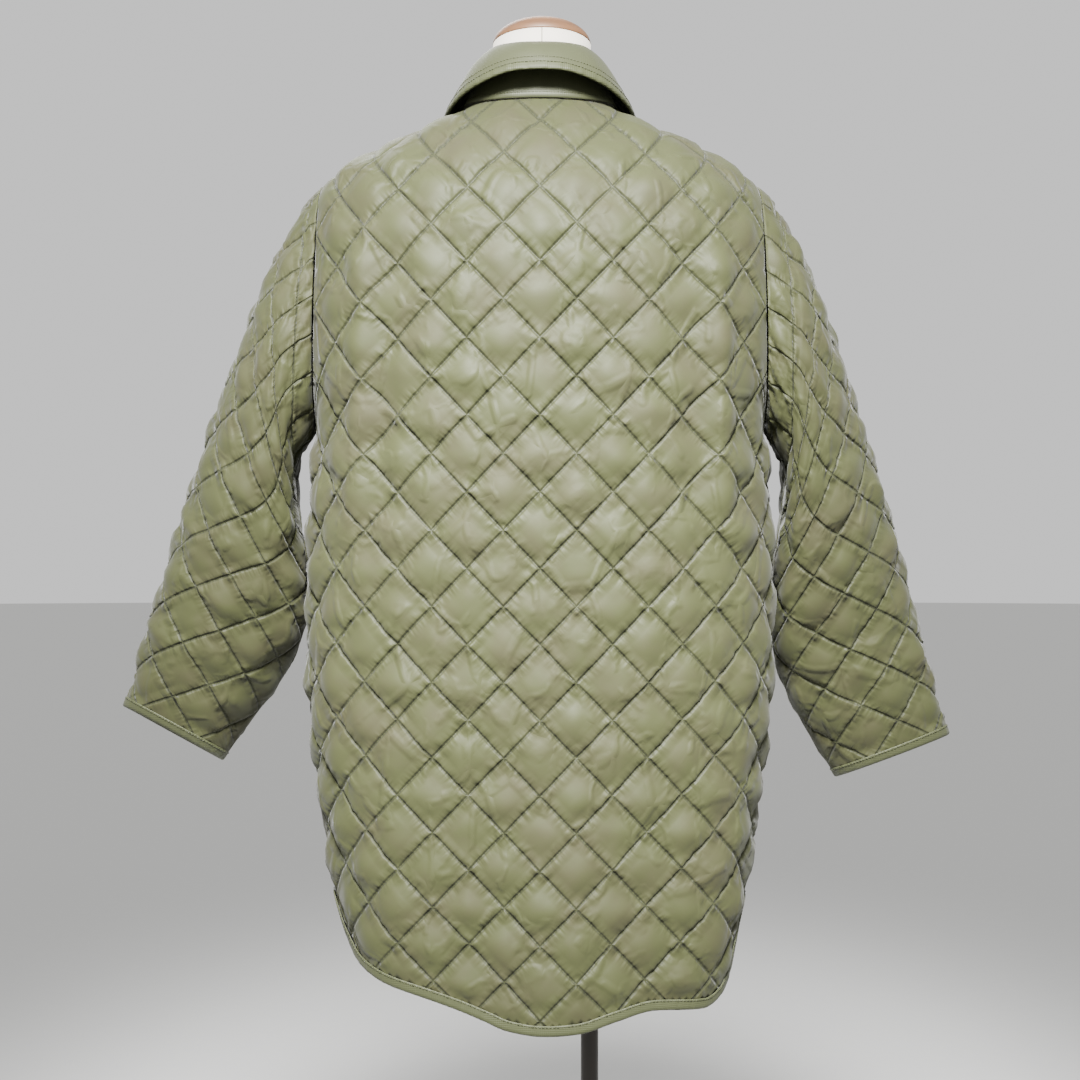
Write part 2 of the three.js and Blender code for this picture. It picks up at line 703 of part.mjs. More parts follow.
// Closed solid of a panel: quilted outside, plain inside, walls round the rim
function panelSolid(layout) {
  const outer = flatPanel(layout, true);
  const inner = flatPanel(layout, false);
  const outerLoop = rimLoop(outer);
  const innerLoop = rimLoop(inner);
  const firstCorner = outer.points[outerLoop[0]].corner;
  const shift = innerLoop.findIndex((i) => inner.points[i].corner === firstCorner);
  const turned = [...innerLoop.slice(shift), ...innerLoop.slice(0, shift)];
  const positions = [];
  const indices = [];
  const outerAt = new Map();
  const innerAt = new Map();
  const place = (map, flat, i, outside) => {
    if (!map.has(i)) {
      const spot = layout.place(flat.points[i], outside);
      map.set(i, positions.length / 3);
      positions.push(spot.x, spot.y, spot.z);
    }
    return map.get(i);
  };
  outer.triangles.forEach((triangle) => {
    indices.push(triangle.map((i) => place(outerAt, outer, i, true)));
  });
  inner.triangles.forEach((triangle) => {
    const [a, b, c] = triangle.map((i) => place(innerAt, inner, i, false));
    indices.push([a, c, b]);
  });
  const outerRuns = cornerRuns(outer, outerLoop);
  const innerRuns = cornerRuns(inner, turned);
  outerRuns.forEach((run, r) => {
    const other = innerRuns[r];
    const shares = runShares(outer, run);
    const otherShares = runShares(inner, other);
    let i = 0;
    let j = 0;
    while (i < run.length - 1 || j < other.length - 1) {
      const outerNext = i < run.length - 1 ? shares[i + 1] : Infinity;
      const innerNext = j < other.length - 1 ? otherShares[j + 1] : Infinity;
      const a = place(outerAt, outer, run[i], true);
      const b = place(innerAt, inner, other[j], false);
      if (outerNext <= innerNext) {
        indices.push([place(outerAt, outer, run[i + 1], true), a, b]);
        i += 1;
      } else {
        indices.push([a, b, place(innerAt, inner, other[j + 1], false)]);
        j += 1;
      }
    }
  });
  const rim = outerLoop.map((i) => {
    const flat = outer.points[i];
    return {
      flat,
      outside: layout.place(flat, true),
      inside: layout.place(flat, false),
    };
  });
  return { positions, indices, rim };
}

function signedVolume(positions, indices) {
  const corner = (i) => new THREE.Vector3(positions[3 * i], positions[3 * i + 1], positions[3 * i + 2]);
  return indices.reduce((sum, [a, b, c]) => sum + corner(a).dot(corner(b).cross(corner(c))) / 6, 0);
}

const group = new THREE.Group();

const sageCloth = { colour: 0x9ca07a, roughness: 0.42, metalness: 0 };
const sageTape = { colour: 0x7f8362, roughness: 0.6, metalness: 0 };
const creamCloth = { colour: 0xefeae2, roughness: 0.9, metalness: 0 };
const capWood = { colour: 0xb9845c, roughness: 0.5, metalness: 0 };
const brownPaint = { colour: 0x4a4038, roughness: 0.45, metalness: 0.3 };
const snapMetal = { colour: 0x6d6a55, roughness: 0.35, metalness: 0.8 };

function addPiece(name, solid, look) {
  const flip = signedVolume(solid.positions, solid.indices) < 0;
  const order = solid.indices.flatMap(([a, b, c]) => (flip ? [a, c, b] : [a, b, c]));
  const geometry = new THREE.BufferGeometry();
  geometry.setAttribute('position', new THREE.Float32BufferAttribute(solid.positions, 3));
  geometry.setIndex(order);
  geometry.computeVertexNormals();
  const material = new THREE.MeshStandardMaterial({
    color: look.colour,
    roughness: look.roughness,
    metalness: look.metalness,
  });
  const mesh = new THREE.Mesh(geometry, material);
  mesh.name = name;
  group.add(mesh);
}

// Body panels

const frontNeckHeight = (s) => {
  const reach = quarterLength('front', BACK_NECK_HEIGHT) - SEAM_GAP / 2;
  const share = Math.abs(s) / reach;
  return FRONT_NECK_HEIGHT + (BACK_NECK_HEIGHT - FRONT_NECK_HEIGHT) * share ** NECK_CURVE_POWER;
};

const armholeInside = (side) => (s, z) => {
  const beside = armholeX(z) - Math.abs(bodyPoint(side, s, z).x);
  return Math.max(beside, UNDERARM_HEIGHT - z, z - SHOULDER_TIP_HEIGHT);
};

const liftFade = (side, s, z) => {
  const seam = quarterLength(side, z) - Math.abs(s);
  const beside = armholeX(z) - Math.abs(bodyPoint(side, s, z).x);
  const armhole = z > UNDERARM_HEIGHT ? beside : Math.hypot(Math.max(0, beside), UNDERARM_HEIGHT - z);
  return clamp01(seam / SEAM_FADE) * ease(0, ARMHOLE_FADE, armhole);
};

// Places a point of a body panel; the inset lets one front pass beneath the other
function placeOnBody(side, inset, point, outside) {
  const { s, z } = point;
  const base = bodyPoint(side, s, z);
  const normal = bodyNormal(side, s, z);
  const level = foldHeight(side, s, z) - inset(s);
  if (point.on.has('armhole')) {
    const shared = armholeNormal(side, s, z);
    const stretch = CLOTH_WALL / Math.max(LEAST_RIM_LEAN, shared.dot(normal));
    return base.addScaledVector(shared, outside ? stretch : 0);
  }
  const raise = point.lift * PUFF_HEIGHT * liftFade(side, s, z);
  return base.addScaledVector(normal, level + (outside ? CLOTH_WALL + raise : 0));
}

const seamLength = (side, z) => quarterLength(side, z) - SEAM_GAP / 2;

const backHem = (s, z) => column(BACK_HEM, 'share', 'z', s / quarterLength('back', z));

const hemAt = (table, share) => column(table, 'share', 'z', share);

function backLayout() {
  const neck = BACK_NECK_HEIGHT - SEAM_GAP / 2;
  const corners = [];
  [-1, 1].forEach((hand) => {
    const pin = (name, z, edge) => {
      corners.push({ name: name + hand, s: hand * seamLength('back', z), z, on: ['seam', edge] });
    };
    pin('hem', hemAt(BACK_HEM, hand), 'hem');
    pin('arm', UNDERARM_HEIGHT, 'armhole');
    pin('tip', SHOULDER_TIP_HEIGHT, 'armhole');
    pin('neck', neck, 'neck');
  });
  return {
    range: { minS: -360, maxS: 360, minZ: 430, maxZ: BACK_NECK_HEIGHT },
    originZ: BACK_CROSSING_HEIGHT,
    diamondHeight: BODY_DIAMOND_HEIGHT,
    corners,
    edges: {
      seam: { inside: (s, z) => seamLength('back', z) - Math.abs(s), step: STRAIGHT_SEAM_STEP },
      neck: { inside: (s, z) => neck - z, step: CURVED_SEAM_STEP },
      hem: { inside: (s, z) => z - backHem(s, z), step: HEM_STEP },
      armhole: { inside: armholeInside('back'), step: CURVED_SEAM_STEP },
    },
    place: (point, outside) => placeOnBody('back', () => 0, point, outside),
  };
}

// The wearer's right front laps over the left, which is let in beneath it
function frontLayout(hand) {
  const over = hand < 0;
  const edge = over ? LAP_WIDTH : -LAP_WIDTH;
  const inset = over ? () => 0 : (s) => LAP_INSET * (1 - ease(LAP_WIDTH + 12, LAP_BLEND_END, s));
  const neck = BACK_NECK_HEIGHT - SEAM_GAP / 2;
  const arm = UNDERARM_HEIGHT;
  const tip = SHOULDER_TIP_HEIGHT;
  const neckLine = (s) => frontNeckHeight(s) - SEAM_GAP / 2;
  const hemLine = (s, z) => column(FRONT_HEM, 'share', 'z', clamp01(hand * s / quarterLength('front', z)));
  const sideHem = hemAt(FRONT_HEM, 1);
  const lapHem = hemLine(edge, FRONT_HEM[0].z);
  return {
    range: { minS: -360, maxS: 360, minZ: 480, maxZ: BACK_NECK_HEIGHT },
    originZ: BACK_CROSSING_HEIGHT,
    diamondHeight: BODY_DIAMOND_HEIGHT,
    corners: [
      { name: 'hem', s: hand * seamLength('front', sideHem), z: sideHem, on: ['seam', 'hem'] },
      { name: 'arm', s: hand * seamLength('front', arm), z: arm, on: ['seam', 'armhole'] },
      { name: 'tip', s: hand * seamLength('front', tip), z: tip, on: ['seam', 'armhole'] },
      { name: 'neck', s: hand * seamLength('front', neck), z: neck, on: ['seam', 'neck'] },
      { name: 'throat', s: edge, z: neckLine(edge), on: ['lap', 'neck'] },
      { name: 'foot', s: edge, z: lapHem, on: ['lap', 'hem'] },
    ],
    edges: {
      seam: { inside: (s, z) => seamLength('front', z) - hand * s, step: STRAIGHT_SEAM_STEP },
      lap: { inside: (s) => hand * (s - edge), step: STRAIGHT_SEAM_STEP },
      neck: { inside: (s, z) => neckLine(s) - z, step: CURVED_SEAM_STEP },
      hem: { inside: (s, z) => z - hemLine(s, z), step: HEM_STEP },
      armhole: { inside: armholeInside('front'), step: CURVED_SEAM_STEP },
    },
    place: (point, outside) => {
      const lapped = ease(LAP_WIDTH + 4, LAP_WIDTH + 26, Math.abs(point.s));
      const flattened = { ...point, lift: point.lift * lapped };
      return placeOnBody('front', inset, flattened, outside);
    },
  };
}

// Sleeves

// Point of the armhole loop at one turn: 0 at the shoulder, a quarter at the back, a half at the underarm
function armholeLoop(turn) {
  const middle = (SHOULDER_TIP_HEIGHT + UNDERARM_HEIGHT) / 2;
  const half = (SHOULDER_TIP_HEIGHT - UNDERARM_HEIGHT) / 2;
  const z = middle + half * Math.cos(turn);
  const side = Math.sin(turn) >= 0 ? 'back' : 'front';
  const roundness = column(BODY_SECTIONS, 'z', 'roundness', z);
  const halfWidth = column(BODY_SECTIONS, 'z', 'halfWidth', z);
  const depth = column(BODY_SECTIONS, 'z', side, z);
  const reach = armholeX(z);
  const away = depth * Math.max(0, 1 - (reach / halfWidth) ** roundness) ** (1 / roundness);
  const y = SIDE_SEAM_Y + (side === 'back' ? away : -away);
  return { point: new THREE.Vector3(reach, y, z), side };
}

function clothDistance(side, point) {
  const ring = quarter(side, point.z);
  let step = 1;
  while (step < RING_STEPS && ring.x[step] < point.x) {
    step += 1;
  }
  const share = clamp01((point.x - ring.x[step - 1]) / (ring.x[step] - ring.x[step - 1]));
  return mix(ring.length[step - 1], ring.length[step], share);
}

function sectionPoint(section, turn) {
  const middleX = (section.outerX + section.innerX) / 2;
  const middleZ = (section.outerZ + section.innerZ) / 2;
  const across = Math.cos(turn);
  const deep = Math.sin(turn) * section.depth;
  return new THREE.Vector3(
    middleX + across * (section.outerX - section.innerX) / 2,
    section.y + deep,
    middleZ + across * (section.outerZ - section.innerZ) / 2 + section.tilt * deep,
  );
}

// Smooth way through a list of points, at a place measured in points
function smoothWay(points, place) {
  const last = points.length - 1;
  const at = Math.min(Math.max(place, 0), last);
  const row = Math.min(Math.floor(at), last - 1);
  const t = at - row;
  const tangent = (i) => {
    const before = points[Math.max(i - 1, 0)];
    const after = points[Math.min(i + 1, last)];
    const span = Math.min(i + 1, last) - Math.max(i - 1, 0);
    return after.clone().sub(before).divideScalar(span);
  };
  const t2 = t * t;
  const t3 = t2 * t;
  return points[row].clone().multiplyScalar(2 * t3 - 3 * t2 + 1)
    .addScaledVector(tangent(row), t3 - 2 * t2 + t)
    .addScaledVector(points[row + 1], 3 * t2 - 2 * t3)
    .addScaledVector(tangent(row + 1), t3 - t2);
}

// Sleeve surface as a grid of points with its cloth lengths, for a sleeve on the +X side
function sleeveSurface(sections) {
  const rings = [];
  for (let i = 0; i <= SLEEVE_GRID_AROUND; i += 1) {
    const turn = -Math.PI + 2 * Math.PI * i / SLEEVE_GRID_AROUND;
    const start = armholeLoop(turn).point;
    start.x += ARMHOLE_GAP;
    const way = [start, ...sections.map((section) => sectionPoint(section, turn))];
    const line = [];
    for (let j = 0; j <= SLEEVE_GRID_ALONG; j += 1) {
      line.push(smoothWay(way, (way.length - 1) * j / SLEEVE_GRID_ALONG));
    }
    rings.push(line);
  }
  const middle = SLEEVE_GRID_AROUND / 2;
  const around = rings.map(() => []);
  const along = rings.map(() => []);
  for (let j = 0; j <= SLEEVE_GRID_ALONG; j += 1) {
    around[middle][j] = 0;
    for (let i = middle + 1; i <= SLEEVE_GRID_AROUND; i += 1) {
      around[i][j] = around[i - 1][j] + rings[i][j].distanceTo(rings[i - 1][j]);
    }
    for (let i = middle - 1; i >= 0; i -= 1) {
      around[i][j] = around[i + 1][j] - rings[i][j].distanceTo(rings[i + 1][j]);
    }
  }
  rings.forEach((line, i) => {
    along[i][SLEEVE_GRID_ALONG] = 0;
    for (let j = SLEEVE_GRID_ALONG - 1; j >= 0; j -= 1) {
      along[i][j] = along[i][j + 1] + line[j].distanceTo(line[j + 1]);
    }
  });
  return { rings, around, along };
}

function gridValue(grid, i, j, blend) {
  const i0 = Math.min(Math.max(Math.floor(i), 0), SLEEVE_GRID_AROUND - 1);
  const j0 = Math.min(Math.max(Math.floor(j), 0), SLEEVE_GRID_ALONG - 1);
  const low = blend(grid[i0][j0], grid[i0][j0 + 1], j - j0);
  const high = blend(grid[i0 + 1][j0], grid[i0 + 1][j0 + 1], j - j0);
  return blend(low, high, i - i0);
}

const blendPoints = (a, b, share) => a.clone().lerp(b, share);

// Grid place whose value is sought, where the values rise or fall steadily
function findPlace(count, target, valueAt) {
  const rising = valueAt(count) > valueAt(0);
  let low = 0;
  let high = count;
  for (let turn = 0; turn < 36; turn += 1) {
    const place = (low + high) / 2;
    if ((valueAt(place) < target) === rising) {
      low = place;
    } else {
      high = place;
    }
  }
  return (low + high) / 2;
}

// Turns cloth distances round and along the sleeve into a grid place
function sleevePlace(surface, s, v) {
  let j = SLEEVE_GRID_ALONG * 0.5;
  let i = SLEEVE_GRID_AROUND * 0.5;
  for (let turn = 0; turn < 14; turn += 1) {
    i = findPlace(SLEEVE_GRID_AROUND, s, (place) => gridValue(surface.around, place, j, mix));
    j = findPlace(SLEEVE_GRID_ALONG, v, (place) => gridValue(surface.along, i, place, mix));
  }
  return { i, j };
}

function sleeveNormal(surface, i, j) {
  const at = (around, along) => gridValue(surface.rings, around, along, blendPoints);
  const iLow = Math.max(i - NORMAL_REACH, 0);
  const iHigh = Math.min(i + NORMAL_REACH, SLEEVE_GRID_AROUND);
  const jLow = Math.max(j - NORMAL_REACH, 0);
  const jHigh = Math.min(j + NORMAL_REACH, SLEEVE_GRID_ALONG);
  const across = at(iHigh, j).sub(at(iLow, j));
  const down = at(i, jHigh).sub(at(i, jLow));
  return down.cross(across).normalize();
}

function sleeveLayout(hand, sections) {
  const surface = sleeveSurface(sections);
  const seamGrid = SLEEVE_GRID_AROUND;
  const seamV = surface.along[seamGrid][0];
  const capTurn = (s) => findPlace(SLEEVE_GRID_AROUND, s, (place) => {
    return gridValue(surface.around, place, 0, mix);
  });
  const capHeight = (s) => gridValue(surface.along, capTurn(s), 0, mix);
  const seamHalf = (v) => {
    const at = findPlace(SLEEVE_GRID_ALONG, Math.min(v, seamV), (place) => {
      return gridValue(surface.along, seamGrid, place, mix);
    });
    return gridValue(surface.around, seamGrid, at, mix) - SEAM_GAP / 2;
  };
  const corners = [];
  [-1, 1].forEach((end) => {
    corners.push({ name: 'cuff' + end, s: end * seamHalf(0), z: 0, on: ['seam', 'cuff'] });
    corners.push({ name: 'arm' + end, s: end * seamHalf(seamV), z: seamV, on: ['seam', 'cap'] });
  });
  const liftNear = (s, v) => {
    const seam = Math.abs(seamHalf(v) - Math.abs(s));
    return clamp01(seam / SEAM_FADE) * ease(0, ARMHOLE_FADE, capHeight(s) - v);
  };
  return {
    range: { minS: -370, maxS: 370, minZ: 0, maxZ: capHeight(0) + 10 },
    originZ: 0.45 * SLEEVE_DIAMOND_HEIGHT,
    diamondHeight: SLEEVE_DIAMOND_HEIGHT,
    corners,
    edges: {
      cuff: { inside: (s, v) => v, step: HEM_STEP },
      cap: { inside: (s, v) => capHeight(s) - v, step: CURVED_SEAM_STEP },
      seam: { inside: (s, v) => seamHalf(v) - Math.abs(s), step: STRAIGHT_SEAM_STEP },
    },
    place: (point, outside) => {
      if (point.on.has('cap')) {
        const i = capTurn(point.s);
        const spot = gridValue(surface.rings, i, 0, blendPoints);
        const turn = -Math.PI + 2 * Math.PI * i / SLEEVE_GRID_AROUND;
        const { point: loop, side } = armholeLoop(turn);
        const distance = clothDistance(side, loop);
        const shared = armholeNormal(side, distance, loop.z);
        const lean = shared.dot(bodyNormal(side, distance, loop.z));
        const stretch = CLOTH_WALL / Math.max(LEAST_RIM_LEAN, lean);
        spot.addScaledVector(shared, outside ? stretch : 0);
        spot.x *= hand;
        return spot;
      }
      const { i, j } = sleevePlace(surface, point.s, point.z);
      const spot = gridValue(surface.rings, i, j, blendPoints);
      const raise = point.lift * PUFF_HEIGHT * liftNear(point.s, point.z);
      spot.addScaledVector(sleeveNormal(surface, i, j), outside ? CLOTH_WALL + raise : 0);
      spot.x *= hand;
      return spot;
    },
  };
}

// Bindings

// Part of a rim along the named edges, in order
function rimAlong(rim, names) {
  const belongs = rim.map((spot) => names.some((name) => spot.flat.on.has(name)));
  const count = rim.length;
  const joined = (i) => {
    const a = rim[i].flat.on;
    const b = rim[(i + 1) % count].flat.on;
    return names.some((name) => a.has(name) && b.has(name));
  };
  let start = 0;
  while (!(belongs[start] && joined(start) && !joined((start + count - 1) % count))) {
    start += 1;
  }
  const way = [rim[start]];
  let at = start;
  while (joined(at)) {
    at = (at + 1) % count;
    way.push(rim[at]);
  }
  return straightened(way);
}

// Leaves out points that lie on the straight line between those that are kept
function straightened(way) {
  const kept = [way[0]];
  let from = 0;
  for (let i = 1; i + 1 < way.length; i += 1) {
    const line = new THREE.Line3(way[from].outside, way[i + 1].outside);
    const under = new THREE.Line3(way[from].inside, way[i + 1].inside);
    const spot = new THREE.Vector3();
    const strays = way.slice(from + 1, i + 1).some((point) => {
      const above = line.closestPointToPoint(point.outside, true, spot).distanceTo(point.outside);
      const below = under.closestPointToPoint(point.inside, true, spot).distanceTo(point.inside);
      return Math.max(above, below) > BINDING_FLATNESS;
    });
    if (strays || way[i].flat.corner) {
      kept.push(way[i]);
      from = i;
    }
  }
  kept.push(way[way.length - 1]);
  return kept;
}

// Tape that continues the edge of a panel; its ends keep clear of the piece across the seam
function tapeSolid(way, width, hand, limits) {
  const stations = way.map((spot) => {
    const middle = spot.inside.clone().add(spot.outside).multiplyScalar(0.5);
    const normal = spot.outside.clone().sub(spot.inside).normalize();
    return { middle, normal, wall: spot.outside.distanceTo(spot.inside) };
  });
  const last = stations.length - 1;
  stations.forEach((station, i) => {
    const away = new THREE.Vector3();
    const parts = [];
    [[i - 1, i], [i, i + 1]].forEach(([a, b]) => {
      if (a >= 0 && b <= last) {
        const run = stations[b].middle.clone().sub(stations[a].middle).normalize();
        parts.push(run.cross(station.normal).normalize().multiplyScalar(hand));
      }
    });
    parts.forEach((part) => away.add(part));
    away.normalize();
    const open = Math.max(0.6, away.dot(parts[0]));
    if ((i === 0 || i === last) && way[i].flat && way[i].flat.on.has('seam')) {
      away.y = 0;
      away.normalize();
    }
    station.away = away;
    station.reach = 1 / open;
  });
  const positions = [];
  stations.forEach(({ middle, normal, wall, away, reach }) => {
    const section = [
      [TAPE_GAP, -wall / 2 - BINDING_INSIDE],
      [TAPE_GAP, wall / 2 + BINDING_OUTSIDE],
      [width * 0.86, wall / 2 + BINDING_OUTSIDE],
      [width, 0],
      [width * 0.86, -wall / 2 - BINDING_INSIDE],
    ];
    section.forEach(([run, rise]) => {
      const spot = middle.clone().addScaledVector(away, run * reach).addScaledVector(normal, rise);
      spot.y = Math.min(Math.max(spot.y, limits[0]), limits[1]);
      positions.push(spot.x, spot.y, spot.z);
    });
  });
  return { positions, indices: tubeIndices(stations.length, 5, false, true) };
}

// Triangles of a run of rings, closed or capped at its ends
function tubeIndices(ringCount, sides, closed, capped) {
  const indices = [];
  const rings = closed ? ringCount : ringCount - 1;
  for (let ring = 0; ring < rings; ring += 1) {
    const next = (ring + 1) % ringCount;
    for (let side = 0; side < sides; side += 1) {
      const following = (side + 1) % sides;
      const a = ring * sides + side;
      const b = ring * sides + following;
      const c = next * sides + side;
      const d = next * sides + following;
      indices.push([a, b, d], [a, d, c]);
    }
  }
  if (capped) {
    const top = (ringCount - 1) * sides;
    for (let side = 1; side + 1 < sides; side += 1) {
      indices.push([0, side + 1, side], [top, top + side, top + side + 1]);
    }
  }
  return indices;
}

// Collar

// Station of the collar at a signed turn; negative turns lie on the wearer's right
function collarStation(turn) {
  const at = Math.abs(turn);
  const hand = turn < 0 ? -1 : 1;
  const value = (name) => column(COLLAR_STATIONS, 'turn', name, at);
  return {
    fold: new THREE.Vector3(hand * value('foldX'), value('foldY'), value('foldZ')),
    edge: new THREE.Vector3(hand * value('edgeX'), value('edgeY'), value('edgeZ')),
  };
}

// Neck seam at the same turn, just above the panels
function neckSeam(turn) {
  const hand = turn < 0 ? -1 : 1;
  const at = Math.abs(turn);
  const side = at <= 90 ? 'back' : 'front';
  const share = at <= 90 ? at / 90 : (180 - at) / 90;
  const reach = quarterLength(side, BACK_NECK_HEIGHT);
  const s = hand * share * reach;
  const z = side === 'back' ? BACK_NECK_HEIGHT : frontNeckHeight(s);
  const spot = bodyPoint(side, s, z);
  const normal = bodyNormal(side, s * INSIDE_SHOULDER_SHARE, z);
  spot.addScaledVector(normal, CLOTH_WALL / 2);
  const sideRise = STAND_SIDE_RISE * Math.sin(radians(at)) ** 4;
  spot.z += STAND_RISE + sideRise + Math.max(0, normal.z) * CLOTH_WALL / 2;
  return spot;
}

function gridSolid(stations) {
  const rows = stations[0].length;
  const positions = [];
  stations.forEach((line) => {
    line.forEach(({ inside }) => positions.push(inside.x, inside.y, inside.z));
    [...line].reverse().forEach(({ outside }) => positions.push(outside.x, outside.y, outside.z));
  });
  const sides = 2 * rows;
  const indices = tubeIndices(stations.length, sides, false, false);
  const cap = (start, flip) => {
    for (let row = 0; row + 1 < rows; row += 1) {
      const a = start + row;
      const b = start + row + 1;
      const c = start + sides - 2 - row;
      const d = start + sides - 1 - row;
      indices.push(flip ? [a, c, b] : [a, b, c], flip ? [a, d, c] : [a, c, d]);
    }
  };
  cap(0, true);
  cap((stations.length - 1) * sides, false);
  return { positions, indices };
}

// Walls of a grid of middle points, thickened along its normals
function thickGrid(middles, wall, outwardHint) {
  const columns = middles.length;
  const rows = middles[0].length;
  return middles.map((line, i) => line.map((spot, j) => {
    const before = middles[Math.max(i - 1, 0)][j];
    const after = middles[Math.min(i + 1, columns - 1)][j];
    const below = line[Math.max(j - 1, 0)];
    const above = line[Math.min(j + 1, rows - 1)];
    const normal = after.clone().sub(before).cross(above.clone().sub(below)).normalize();
    if (normal.dot(outwardHint(spot)) < 0) {
      normal.negate();
    }
    return {
      inside: spot.clone().addScaledVector(normal, -wall / 2),
      outside: spot.clone().addScaledVector(normal, wall / 2),
    };
  }));
}

function collarTurns() {
  const turns = [];
  for (let step = 0; step <= COLLAR_STEPS; step += 1) {
    turns.push(mix(-COLLAR_END_TURN, COLLAR_END_TURN, step / COLLAR_STEPS));
  }
  return turns;
}

function standMiddles() {
  return collarTurns().map((turn) => {
    const seam = neckSeam(turn);
    const { fold } = collarStation(turn);
    const line = [];
    for (let row = 0; row < 3; row += 1) {
      line.push(seam.clone().lerp(fold, row / 2));
    }
    return line;
  });
}

function fallMiddles() {
  return collarTurns().map((turn) => {
    const { fold, edge } = collarStation(turn);
    const away = edge.clone().sub(fold);
    away.z = 0;
    away.normalize();
    const top = fold.clone().addScaledVector(away, COLLAR_WALL + SEAM_GAP + FALL_EASE);
    top.z += FALL_RISE;
    const control = top.clone().lerp(edge, FALL_BEND_SHARE);
    control.addScaledVector(away, COLLAR_ROLL * FALL_ROLL_SHARE);
    control.z += COLLAR_ROLL;
    const line = [];
    for (let row = 0; row < COLLAR_ROWS; row += 1) {
      const t = row / (COLLAR_ROWS - 1);
      const first = top.clone().lerp(control, t);
      const second = control.clone().lerp(edge, t);
      line.push(first.lerp(second, t));
    }
    return line;
  });
}

const fromNeck = (spot) => new THREE.Vector3(spot.x, spot.y - SIDE_SEAM_Y, 12);

// Small round pieces

function latheSolid(profile, sides, centre, axis) {
  const positions = [];
  const turn = new THREE.Quaternion().setFromUnitVectors(new THREE.Vector3(0, 0, 1), axis);
  profile.forEach(([radius, height]) => {
    for (let side = 0; side < sides; side += 1) {
      const angle = 2 * Math.PI * side / sides;
      const spot = new THREE.Vector3(radius * Math.cos(angle), radius * Math.sin(angle), height);
      spot.applyQuaternion(turn).add(centre);
      positions.push(spot.x, spot.y, spot.z);
    }
  });
  return { positions, indices: tubeIndices(profile.length, sides, false, true) };
}

function addSnaps() {
  SNAP_HEIGHTS.forEach((z, i) => {
    const base = bodyPoint('front', SNAP_PLACE, z);
    const normal = bodyNormal('front', SNAP_PLACE, z);
    const level = foldHeight('front', SNAP_PLACE, z) + CLOTH_WALL + SEAM_GAP;
    base.addScaledVector(normal, level);
    const profile = [
      [SNAP_RADIUS, 0],
      [SNAP_RADIUS, SNAP_THICKNESS * SNAP_SHOULDER_SHARE],
      [SNAP_RADIUS * SNAP_CROWN_SHARE, SNAP_THICKNESS],
    ];
    addPiece('snap_' + (i + 1), latheSolid(profile, SNAP_SIDES, base, normal), snapMetal);
  });
}

// Dress form

function formTorso() {
  const heights = [];
  FORM_SPANS.forEach(({ from, to, steps }) => {
    for (let step = 0; step < steps; step += 1) {
      heights.push(mix(from, to, step / steps));
    }
  });
  heights.push(FORM_SPANS[FORM_SPANS.length - 1].to);
  const positions = [];
  heights.forEach((z) => {
    const value = (name) => column(FORM_SECTIONS, 'z', name, z);
    for (let step = 0; step < FORM_STEPS; step += 1) {
      const angle = 2 * Math.PI * step / FORM_STEPS;
      const depth = Math.sin(angle) > 0 ? value('back') : value('front');
      const x = NECK_RIM.x * ease(NECK_LEAN_FOOT, NECK_RIM.z, z) + value('halfWidth') * Math.cos(angle);
      positions.push(x, value('y') + depth * Math.sin(angle), z + FORM_LIFT);
    }
  });
  for (let step = 0; step < FORM_STEPS; step += 1) {
    const spot = rimPoint(1, 0, 2 * Math.PI * step / FORM_STEPS);
    positions.push(spot.x, spot.y, spot.z);
  }
  return { positions, indices: tubeIndices(heights.length + 1, FORM_STEPS, false, true) };
}

// Point over the tilted rim of the neck
function rimPoint(scale, rise, angle) {
  const tilt = radians(NECK_RIM.tilt);
  const across = NECK_RIM.halfWidth * scale * Math.cos(angle);
  const deep = NECK_RIM.halfDepth * scale * Math.sin(angle);
  return new THREE.Vector3(
    NECK_RIM.x + across,
    NECK_RIM.y + deep * Math.cos(tilt) - rise * Math.sin(tilt),
    NECK_RIM.z + deep * Math.sin(tilt) + rise * Math.cos(tilt),
  );
}

function neckCap() {
  const positions = [];
  for (let ring = 0; ring < CAP_RINGS; ring += 1) {
    const climb = Math.PI / 2 * ring / CAP_RINGS;
    for (let step = 0; step < FORM_STEPS; step += 1) {
      const rise = SEAM_GAP + CAP_RISE * Math.sin(climb);
      const spot = rimPoint(Math.cos(climb), rise, 2 * Math.PI * step / FORM_STEPS);
      positions.push(spot.x, spot.y, spot.z);
    }
  }
  return { positions, indices: tubeIndices(CAP_RINGS, FORM_STEPS, false, true) };
}

// Assembly

const backSolid = panelSolid(backLayout());
addPiece('back', backSolid, sageCloth);
const leftSolid = panelSolid(frontLayout(1));
addPiece('front_left', leftSolid, sageCloth);
const rightSolid = panelSolid(frontLayout(-1));
addPiece('front_right', rightSolid, sageCloth);
const leftSleeve = panelSolid(sleeveLayout(1, LEFT_SLEEVE_SECTIONS));
addPiece('sleeve_left', leftSleeve, sageCloth);
const rightSleeve = panelSolid(sleeveLayout(-1, RIGHT_SLEEVE_SECTIONS));
addPiece('sleeve_right', rightSleeve, sageCloth);

function addTape(name, way, hand, limits = [-Infinity, Infinity]) {
  addPiece(name, tapeSolid(way, HEM_BINDING_WIDTH, hand, limits), sageTape);
}

const behindSeam = [SIDE_SEAM_Y + SEAM_GAP / 2, Infinity];
const beforeSeam = [-Infinity, SIDE_SEAM_Y - SEAM_GAP / 2];

